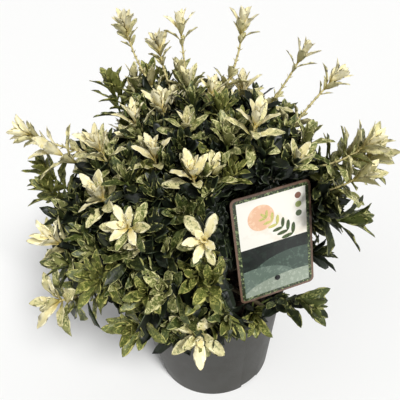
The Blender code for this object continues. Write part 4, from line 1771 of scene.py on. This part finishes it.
@dataclass
class LeafMesh:
    """The mesh of a leaf, made for many leaves at once.

    Along the blade are stations, each with two edge points, two points where the margin
    ends, one on the midrib and one under it. The tip is blunt, the edge ripples up and
    down, and the margin's width wanders.
    """

    stations: tuple[float, ...] = (0.0, 0.12, 0.27, 0.42, 0.57, 0.72, 0.85, 0.94, 1.0)
    widths: tuple[float, ...] = (0.10, 0.28, 0.62, 0.87, 1.00, 0.95, 0.69, 0.37, 0.0)
    margin_at: float = 0.71
    margin_wander: float = 0.22
    ripple: float = 0.20
    ripples: float = 2.2
    thick: float = 0.00038
    thin_tip: float = 0.15
    thins_by: float = 4.0
    seed: int = 5

    # A station's faces: their first and second point and their material, in this order:
    # 0 the margin, 1 the middle, 2 the underside
    LOOP = ((0, 1, 0), (1, 2, 1), (2, 3, 1), (3, 4, 0), (4, 5, 2), (5, 0, 2))
    # How far across the UV map each of a station's points lies
    CHART = (0.0, 0.2, 0.5, 0.8, 1.0, 0.5)

    def faces(self) -> tuple[list[tuple[int, ...]], list[int]]:
        """Lists the faces of one leaf.

        Returns:
            The faces, and each one's material.
        """
        last = len(self.stations) - 2
        found: list[tuple[int, ...]] = [(5, 4, 3, 2, 1, 0)]
        for k in range(last + 1):
            low, high = 6 * k, 6 * (k + 1)
            for a, b, _ in self.LOOP:
                upper = (high,) if k == last else (high + b, high + a)
                found.append((low + a, low + b, *upper))
        return found, [2] + [material for _, _, material in self.LOOP] * (last + 1)

    def points(self, leaves: list[Leaf]) -> np.ndarray:
        """Places the points of every leaf.

        Args:
            leaves: The leaves.

        Returns:
            An array of leaves by points by three.
        """
        base, way, facing = (
            np.array([getattr(leaf, name) for leaf in leaves])[:, None, None, :]
            for name in ("base", "way", "facing")
        )
        length, wide, bend, fold = (
            np.array([getattr(leaf, name) for leaf in leaves])[:, None, None, None]
            for name in ("length", "wide", "bend", "fold")
        )
        stations = np.array(self.stations)
        along = stations[None, :, None, None]
        half = np.array(self.widths)[None, :, None, None] * wide / 2
        draw = np.random.default_rng(self.seed)
        across = np.zeros((len(leaves), len(stations), 6, 1))
        ripple = np.zeros_like(across)
        across[:, :, 0, 0] = -1.0
        across[:, :, 4, 0] = 1.0
        for column, sign in ((1, -1.0), (3, 1.0)):
            wander = draw.uniform(-1.0, 1.0, across.shape[:2]) * self.margin_wander
            across[:, :, column, 0] = sign * (self.margin_at + wander)
        for column in (0, 4):
            phase = draw.uniform(0.0, 2 * math.pi, (len(leaves), 1))
            waves = 2 * math.pi * self.ripples * stations[None, :] + phase
            ripple[:, :, column, 0] = self.ripple * np.sin(waves)
        under = np.zeros((1, 1, 6, 1))
        under[0, 0, 5, 0] = 1.0
        total = np.maximum(np.radians(bend), 1e-3)
        turned = total * along
        rib = base + length / total * (way * np.sin(turned) - facing * (1 - np.cos(turned)))
        lift = np.radians(fold)
        up = facing * np.cos(turned) + way * np.sin(turned)
        side = np.cross(way, facing)
        offset = (side * across * np.cos(lift) + up * np.abs(across) * np.sin(lift)) * half
        taper = np.minimum(1.0, self.thins_by * (1 - along) + self.thin_tip)
        placed = rib + offset + up * (ripple * half - under * self.thick * taper)
        body = placed[:, :-1].reshape(len(leaves), (len(stations) - 1) * 6, 3)
        return np.concatenate([body, placed[:, -1, 2][:, None, :]], axis=1)

    def plan(self) -> np.ndarray:
        """Charts one leaf for its UV map.

        Returns:
            Each point's place across and along the blade.
        """
        across = np.tile(self.CHART, len(self.stations) - 1)
        along = np.repeat(np.array(self.stations[:-1]), 6)
        return np.append(np.stack([across, along], axis=1), [[0.5, 1.0]], axis=0)

    def build(self, leaves: list[Leaf], name: str) -> Object:
        """Joins the leaves into one mesh.

        Args:
            leaves: The leaves.
            name: The mesh's name.

        Returns:
            Its object.
        """
        points = self.points(leaves)
        count, each = points.shape[:2]
        one, worn = self.faces()
        sizes = np.tile([len(face) for face in one], count)
        flat = np.concatenate([np.array(face) for face in one])
        loops = (flat[None, :] + np.arange(count)[:, None] * each).ravel()
        mesh = bpy.data.meshes.new(name)
        mesh.vertices.add(count * each)
        mesh.vertices.foreach_set("co", points.ravel())
        mesh.loops.add(len(loops))
        mesh.loops.foreach_set("vertex_index", loops)
        mesh.polygons.add(len(sizes))
        mesh.polygons.foreach_set("loop_start", np.append([0], np.cumsum(sizes)[:-1]))
        mesh.polygons.foreach_set("material_index", np.tile(worn, count))
        chart = mesh.uv_layers.new(name="UVMap")
        chart.data.foreach_set("uv", self.plan()[np.tile(flat, count)].ravel())
        mesh.update(calc_edges=True)
        mesh.validate()
        mesh.shade_smooth()
        return new_object(name, mesh)


@dataclass(frozen=True)
class Joint:
    """A joint of a shoot: its place, the shoot's direction there and two square to that."""

    spot: Vector
    along: Vector
    across: Vector
    beside: Vector


@dataclass
class Foliage:
    """The shoots and leaves of the whole crown, grown on from the boughs."""

    rule: CrownRule
    pot: NurseryPot
    seed: int = 41
    leaf_length: float = 0.0252
    leaf_wide: float = 0.0079
    main_radii: Pair = (0.0016, 0.0010)
    main_steps: int = 8
    main_size: float = 1.04
    set_size: float = 1.20
    main_room: float = 0.002
    fine_radii: Pair = (0.0011, 0.0008)
    fine_sizes: Pair = (1.0, 1.18)
    fine_steps: int = 4
    fine_every: float = 0.0074
    fine_length: Pair = (0.018, 0.036)
    fine_from: float = 0.12
    fine_share: float = 0.74
    fine_depth: float = 0.90
    fine_offset: float = 0.37
    tip_depth: float = 0.99
    side_tries: int = 5
    side_turn: float = 73.0
    side_shorter: float = 0.1
    side_halves: Pair = (0.5, 0.55)
    side_along: float = 0.6
    side_out: float = 0.5
    side_up: float = 0.6
    side_away: float = 0.4
    core_rings: tuple[tuple[float, int], ...] = ((140.0, 5), (105.0, 7), (70.0, 7), (30.0, 5))
    core_lengths: Pair = (0.8, 1.3)
    core_length: float = 0.028
    core_half: float = 0.6
    core_jitter: float = 0.3
    core_out: float = 0.2
    core_up: float = 0.3
    bough_every: float = 0.0085
    bough_from: float = 0.30
    bough_to: float = 0.95
    bough_offset: float = 0.61
    bough_twig: Pair = (0.8 * 0.024, 1.5 * 0.024)
    bough_room: float = 0.0034
    room: float = 0.0008
    pot_room: float = 1.2 * MM
    pot_sides: int = 36
    label_room: float = 0.0005
    label_back: float = 0.003
    mix_top: float = 0.1295
    deep: float = 0.71
    shaded: float = 0.86
    deep_chance: float = 0.45
    front_turn: float = 110.0
    pale_in_front: float = 0.03
    pale_behind: float = 0.30
    cream_more: float = 0.07
    olive_more: float = 0.18
    not_shade: float = 0.65
    old_size: float = 1.10
    # Leaves nearer the heart than this share of the reach are dark: old leaves, and painted shade for the
    # crown's inside
    old_shaded_depth: float = 0.62
    low_more: float = 0.22
    low_from: float = 35.0
    low_over: float = 55.0
    last_pair: float = 0.003
    roll: float = 12.0
    turn_off: float = 9.0
    spreads: Pair = (0.82, 1.18)
    sizes: Pair = (0.92, 1.08)
    widths: Pair = (0.9, 1.15)
    bends: Pair = (0.5, 1.4)
    folds: Pair = (10.0, 28.0)
    tested: float = 0.80
    tested_dark: float = 0.66
    most_together: int = 1900
    twig_sides: int = 6
    knob_every: float = 0.002
    knob_steps: int = 4
    knob: float = 1.22
    between_knobs: Pair = (0.86, 1.0)
    first_joint: float = 0.35

    # What is tried to fit a leaf in: each time its share of the size, and a turn
    TRIES = ((1.0, 0.0), (0.95, 24.0), (0.9, -24.0), (0.82, 40.0), (0.7, 0.0))
    RINDS = (
        TwigRind("young_twig_rind", "#c9bd84", "#6b5233"),
        TwigRind("green_twig_rind", "#5f6a35", "#3a3820"),
    )
    # A parent's number for a shoot that grows on a bough
    ON_BOUGH = -2

    def __post_init__(self) -> None:
        """Starts with no shoot and no leaf."""
        self.draw = random.Random(self.seed)
        self.crowding = Crowding()
        self.shoots: list[Shoot] = []
        self.leaves: dict[LeafKind, list[Leaf]] = defaultdict(list)

    def keep_off_fixed_things(self) -> None:
        """Keeps twigs and leaves off the pot, the mix, the label and the wood."""
        turns = [2 * math.pi * k / self.pot_sides for k in range(self.pot_sides)]
        circle = [Vector((math.cos(a), math.sin(a), 0)) for a in turns]
        wall = (self.mix_top - 2 * MM, self.pot.height)
        for heights, closed in (((0.0, self.mix_top), True), (wall, False)):
            radii = [self.pot.outer_radius(z) + self.pot_room for z in heights]
            rings = [[p * radius + UP * z for p in circle] for z, radius in zip(heights, radii)]
            points, faces = joined_rings(rings)
            self.crowding.keep_out((points, faces if closed else faces[1:-1]), closed)
        pose = self.rule.label_pose()
        wide = self.rule.label_wide / 2 + self.label_room
        tall = self.rule.label_tall / 2 + self.label_room
        back = [pose @ Vector((a * wide, self.label_back, b * tall)) for a, b in CORNERS]
        sight = Vector(self.rule.label_sight)
        self.crowding.keep_out(joined_rings([back, [corner + sight for corner in back]]), True)
        for mass in self.rule.masses():
            line = self.rule.bough(mass)[:12:3]
            self.crowding.keep_out(tube(line, [self.bough_room] * len(line), 5), False)

    def habit_for(self, tip: Vector) -> Habit:
        """Deals out a habit to a shoot by its place.

        Args:
            tip: Where the shoot ends.

        Returns:
            Pale habits for some shoots in the light, darker ones for those in the shade.
        """
        depth = self.rule.depth(tip)
        if depth < self.deep:
            return Habit.DEEP
        chance = self.draw.random()
        if depth < self.shaded:
            return Habit.DEEP if chance < self.deep_chance else Habit.SHADE
        turn = math.degrees(math.atan2(tip.x, -tip.y))
        pale = self.pale_in_front if abs(turn) < self.front_turn else self.pale_behind
        shares = (
            (pale, Habit.IVORY),
            (pale + self.cream_more, Habit.CREAM),
            (pale + self.olive_more, Habit.OLIVE),
            (self.not_shade, Habit.GREEN),
        )
        return next((habit for share, habit in shares if chance < share), Habit.SHADE)

    def claim(self, shoot: Shoot) -> None:
        """Adds a shoot, with its twig to what stands in the way.

        Args:
            shoot: The shoot.
        """
        for step in pairwise(shoot.line):
            self.crowding.add(tube(step, [shoot.root_radius] * 2, 4), shoot.number)
        self.shoots.append(shoot)

    def grow_main(self, masses: list[Mass]) -> None:
        """Grows the main shoots where the solids have theirs, and the rosettes between.

        Args:
            masses: The masses of foliage, whose middles they grow from.
        """
        chosen_first = sorted(self.rule.places(), key=lambda place: place[2] is None)
        for tip, way, habit in chosen_first:
            mass = min(masses, key=lambda m: (m.middle - tip).length)
            bend = tip - way * (tip - mass.middle).length * self.rule.bend_back
            line = bent(mass.middle, bend, tip, self.main_steps)
            pieces = (tube(step, [self.main_room] * 2, 4) for step in pairwise(line[2:]))
            if any(self.crowding.blocked(self.crowding.measured(piece)) for piece in pieces):
                continue
            size = self.main_size if habit is None else self.set_size
            habit = habit or self.habit_for(tip)
            self.claim(Shoot(line, habit, *self.main_radii, size, len(self.shoots)))

    def grow_fine(self) -> None:
        """Grows side shoots from the main ones, turned on by the golden angle."""
        for parent in list(self.shoots):
            count = max(2, round(sum(step_lengths(parent.line)) / self.fine_every))
            for k in range(count):
                share = self.fine_from + self.fine_share * (k + 0.5) / count
                start, along = spot_on(parent.line, share)
                turn = (k + parent.number * self.fine_offset) * GOLDEN_TURN
                if self.rule.depth(start) <= self.tip_depth:
                    self.try_side_shoot(start, along, turn, parent.number, self.fine_length)

    def try_fine_shoot(self, line: list[Vector], parent: int) -> bool:
        """Adds a fine shoot along a line if its twig touches nothing.

        Args:
            line: The line.
            parent: The parent's number.

        Returns:
            True if it was added.
        """
        number = len(self.shoots)
        habit = self.habit_for(line[-1])
        shoot = Shoot(line, habit, *self.fine_radii, self.draw.uniform(*self.fine_sizes), number, parent)
        for step in pairwise(line[1:] if parent >= 0 else line):
            piece = tube(step, [shoot.root_radius + self.room] * 2, 4)
            if self.crowding.clashes(piece, (number, parent)):
                return False
        self.claim(shoot)
        return True

    def try_side_shoot(
        self, start: Vector, along: Vector, turn: float, parent: int, lengths: Pair
    ) -> None:
        """Grows one side shoot, in the first of a few directions that has room.

        Args:
            start: Where it leaves its parent.
            along: The parent's direction there.
            turn: Its turn round the parent, in degrees.
            parent: The parent's number.
            lengths: Its least and greatest length.
        """
        across, beside = squared(along)
        away = (start - Vector(self.rule.heart)).normalized()
        first_half, final_half = self.side_halves
        for attempt in range(self.side_tries):
            out = swung(across, beside, math.radians(turn + self.side_turn * attempt))
            length = self.draw.uniform(*lengths) * (1.0 - self.side_shorter * attempt)
            first = along * self.side_along + out
            final = along * self.side_along + out * self.side_out + UP * self.side_up
            final += away * self.side_away
            bend = start + first.normalized() * length * first_half
            tip = bend + final.normalized() * length * final_half
            if self.rule.depth(tip) > self.fine_depth:
                continue
            if self.try_fine_shoot(bent(start, bend, tip, self.fine_steps), parent):
                return

    def grow_cores(self, masses: list[Mass]) -> None:
        """Grows short shoots in rings out of each mass's middle, where the solids' cores are.

        Args:
            masses: The masses of foliage.
        """
        for mass in masses:
            out = (mass.middle - Vector(self.rule.heart)).normalized()
            across, beside = squared(out)
            for ring, (lean, count) in enumerate(self.core_rings):
                for k in range(count):
                    turn = 2 * math.pi * (k + 0.5 * ring) / count
                    turn += self.draw.uniform(-self.core_jitter, self.core_jitter)
                    way = swung(out, swung(across, beside, turn), math.radians(lean)).normalized()
                    final = (way + out * self.core_out + UP * self.core_up).normalized()
                    length = self.core_length * self.draw.uniform(*self.core_lengths)
                    bend = mass.middle + way * length * self.core_half
                    tip = bend + final * length * self.core_half
                    line = bent(mass.middle, bend, tip, self.fine_steps)
                    self.try_fine_shoot(line, self.ON_BOUGH)

    def grow_from_boughs(self, masses: list[Mass]) -> None:
        """Grows old, shaded shoots from the outer part of each bough.

        Args:
            masses: The masses of foliage that the boughs carry.
        """
        for index, mass in enumerate(masses):
            line = self.rule.bough(mass)
            count = round(sum(step_lengths(line)) * (1 - self.bough_from) / self.bough_every)
            for k in range(count):
                share = self.bough_from + (self.bough_to - self.bough_from) * (k + 0.5) / count
                turn = (k + index * self.bough_offset) * GOLDEN_TURN
                self.try_side_shoot(*spot_on(line, share), turn, self.ON_BOUGH, self.bough_twig)

    def put_leaves(self, shoot: Shoot) -> None:
        """Puts pairs of leaves down a shoot, each pair turned on from the last.

        Args:
            shoot: The shoot.
        """
        first_turn = self.draw.uniform(0, 90)
        form = shoot.habit.value
        lean = math.degrees((shoot.line[-1] - Vector(self.rule.heart)).angle(UP))
        low = min(1.0, max(0.0, (lean - self.low_from) / self.low_over))
        shoot.size *= form.size * (1.0 + self.low_more * low)
        for index, pair in enumerate(form.pairs):
            if pair.back > sum(step_lengths(shoot.line)) - self.last_pair:
                break
            joint = self.joint_behind_tip(shoot.line, pair.back)
            kind = form.kinds[min(index, len(form.kinds) - 1)]
            # Painted shade in part: joints deep in the crown get dark leaves, as old leaves in the shade
            if self.rule.depth(joint.spot) < self.old_shaded_depth:
                kind = LeafKind.DARK
            for side in (0.0, 180.0):
                self.put_leaf(shoot, joint, pair, kind, first_turn + form.turn_step * index + side)

    @staticmethod
    def joint_behind_tip(line: list[Vector], back: float) -> Joint:
        """Finds a joint on a shoot's line.

        Args:
            line: The line's points.
            back: How far behind the tip the joint lies.

        Returns:
            The joint.
        """
        steps = step_lengths(line)
        k = len(steps) - 1
        while k > 0 and back > steps[k]:
            back -= steps[k]
            k -= 1
        along = (line[k + 1] - line[k]).normalized()
        return Joint(line[k + 1].lerp(line[k], min(1.0, back / steps[k])), along, *squared(along))

    def put_leaf(self, shoot: Shoot, joint: Joint, pair: LeafPair, kind: LeafKind, turn: float) -> None:
        """Puts the largest leaf that has room at one side of a joint.

        Args:
            shoot: The shoot that it grows on.
            joint: The joint.
            pair: The pair that it belongs to.
            kind: Its kind.
            turn: Its turn round the shoot, in degrees.
        """
        dark = kind is LeafKind.DARK
        wide = self.leaf_wide * shoot.habit.value.wide
        for shrink, twist in self.TRIES:
            turned = turn + twist + self.draw.uniform(-self.turn_off, self.turn_off)
            out = swung(joint.across, joint.beside, math.radians(turned))
            spread = math.radians(pair.spread * self.draw.uniform(*self.spreads))
            way = swung(joint.along, out, spread)
            facing = joint.along * math.sin(spread) - out * math.cos(spread)
            facing.rotate(Quaternion(way, math.radians(self.draw.gauss(0.0, self.roll))))
            size = shoot.size * pair.size * shrink * self.draw.uniform(*self.sizes)
            size *= self.old_size if dark else 1.0
            leaf = Leaf(
                joint.spot,
                way,
                facing,
                self.leaf_length * size,
                wide * size * self.draw.uniform(*self.widths),
                pair.bend * self.draw.uniform(*self.bends),
                self.draw.uniform(*self.folds),
                kind,
            )
            shape = leaf.outline(self.tested_dark if dark else self.tested)
            if self.crowding.clashes(shape, (shoot.number, shoot.parent)):
                continue
            if self.crowding.blocked(self.crowding.measured(leaf.outline())):
                continue
            self.crowding.add(shape, shoot.number)
            self.leaves[kind].append(leaf)
            return

    def twigs(self, young: bool) -> Object:
        """Joins the twigs of one kind into a mesh.

        Args:
            young: True for the pale twigs of ivory shoots, False for the others.

        Returns:
            The twigs' object.
        """
        shapes: list[Shape] = []
        lengths: list[float] = []
        for shoot in self.shoots:
            if (shoot.habit.value.kinds[0] in (LeafKind.IVORY, LeafKind.CREAM)) != young:
                continue
            line = resampled(shoot.line, self.knob_every) if young else shoot.line
            radii = tapered(shoot.root_radius, shoot.root_radius - shoot.tip_radius, len(line) - 1)
            if young:
                radii = [
                    radius * self.draw.uniform(*self.between_knobs)
                    * (1.0 if k % self.knob_steps else self.knob)
                    for k, radius in enumerate(radii)
                ]
            shapes.append(tube(line, radii, self.twig_sides))
            for k in range(len(line)):
                lengths += [(k + self.first_joint) * self.knob_every] * self.twig_sides
        made = joined_mesh("young_twigs" if young else "green_twigs", shapes)
        chart = made.data.uv_layers.new(name="UVMap")
        for loop in made.data.loops:
            chart.data[loop.index].uv = (0.5, lengths[loop.vertex_index])
        made.data.shade_smooth()
        return made

    def build(self) -> None:
        """Grows the crown and dresses its twigs and leaves, each kind apart."""
        masses = self.rule.masses()
        self.keep_off_fixed_things()
        self.grow_main(masses)
        self.grow_fine()
        self.grow_cores(masses)
        self.grow_from_boughs(masses)
        for shoot in self.shoots:
            self.put_leaves(shoot)
        LOG.info("%d shoots, %d leaves", len(self.shoots), sum(map(len, self.leaves.values())))
        nodes = nodes_of("foliage_")
        for young, rind in zip((True, False), self.RINDS):
            twigs = self.twigs(young)
            dress(twigs, twigs.name, [rind.make()], nodes)
        fine = LeafMesh()
        coarse = LeafMesh((0.0, 0.2, 0.5, 0.82, 1.0), (0.1, 0.6, 1.18, 0.86, 0.0), margin_at=0.8)
        for kind, leaves in self.leaves.items():
            mesh = coarse if kind is LeafKind.DARK else fine
            finish = kind.value.make()
            count = math.ceil(len(leaves) / self.most_together)
            for k in range(count):
                name = kind.value.name.replace("leaf", f"leaves_{k + 1}")
                dress(mesh.build(leaves[k::count], name), name, finish, nodes)


@dataclass
class Studio:
    """The pale floor, the soft light and the camera at the photograph's viewpoint."""

    camera_place: Place = (-0.0004, -0.4557, 0.5804)
    camera_back: Place = (0.0005, -0.8152, 0.5792)
    camera_roll: float = -5.18
    lens: float = 45.0
    floor_size: float = 12.0
    floor_under: float = 0.0002
    sky: float = 0.26

    # The softboxes: the way to each as turn and lean, its strength and its width in degrees
    SOFTBOXES = ((28.0, 44.0, 3.3, 16.0), (-50.0, 55.0, 0.5, 60.0))

    def build(self) -> None:
        """Builds the floor, the lights, the surroundings and the camera."""
        deselect_all()
        bpy.ops.mesh.primitive_plane_add(size=self.floor_size, location=(0, 0, -self.floor_under))
        floor = bpy.context.object
        floor.name = "floor"
        pale, _, _ = new_material("pale_floor", Base_Color="#f4f4f3", Roughness=0.9)
        floor.data.materials.append(pale)
        floor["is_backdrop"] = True
        for turn, lean, strength, wide in self.SOFTBOXES:
            light = bpy.data.lights.new("softbox", "SUN")
            light.energy = strength
            light.angle = math.radians(wide)
            towards = bearing(turn, lean)
            new_object("softbox", light).rotation_euler = towards.to_track_quat("Z", "Y").to_euler()
        world = bpy.data.worlds.new("soft_surroundings")
        bpy.context.scene.world = world
        world.use_nodes = True
        feed(world.node_tree.nodes["Background"], Color="#ffffff", Strength=self.sky)
        self.add_camera()

    def add_camera(self) -> None:
        """Adds the camera, rolled as the photograph is."""
        back = Vector(self.camera_back).normalized()
        right = UP.cross(back).normalized()
        up = back.cross(right)
        roll = math.radians(self.camera_roll)
        above = up * math.cos(roll) - right * math.sin(roll)
        lens = bpy.data.cameras.new("camera")
        lens.lens = self.lens
        lens.sensor_width = 36.0
        lens.clip_start = 0.01
        camera = new_object("camera", lens)
        pose = Matrix((swung(right, up, roll), above, back)).transposed().to_4x4()
        pose.translation = self.camera_place
        camera.matrix_world = pose
        bpy.context.scene.camera = camera


def main() -> None:
    """Builds every sub-assembly in order."""
    logging.basicConfig(level=logging.INFO, format="%(message)s")
    bpy.context.scene.view_settings.view_transform = "Standard"
    rule = CrownRule()
    pot = NurseryPot()
    pot.build()
    PotFilling(pot).build()
    StickLabel(rule).build()
    Wood(rule).build()
    Foliage(rule, pot).build()
    Studio().build()
    boxes = [[list(map(float, corner)) for corner in box] for box in (CAD_BOX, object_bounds())]
    json.dumps({"cad": boxes[0], "visual": boxes[1]})


if __name__ == "__main__":
    main()
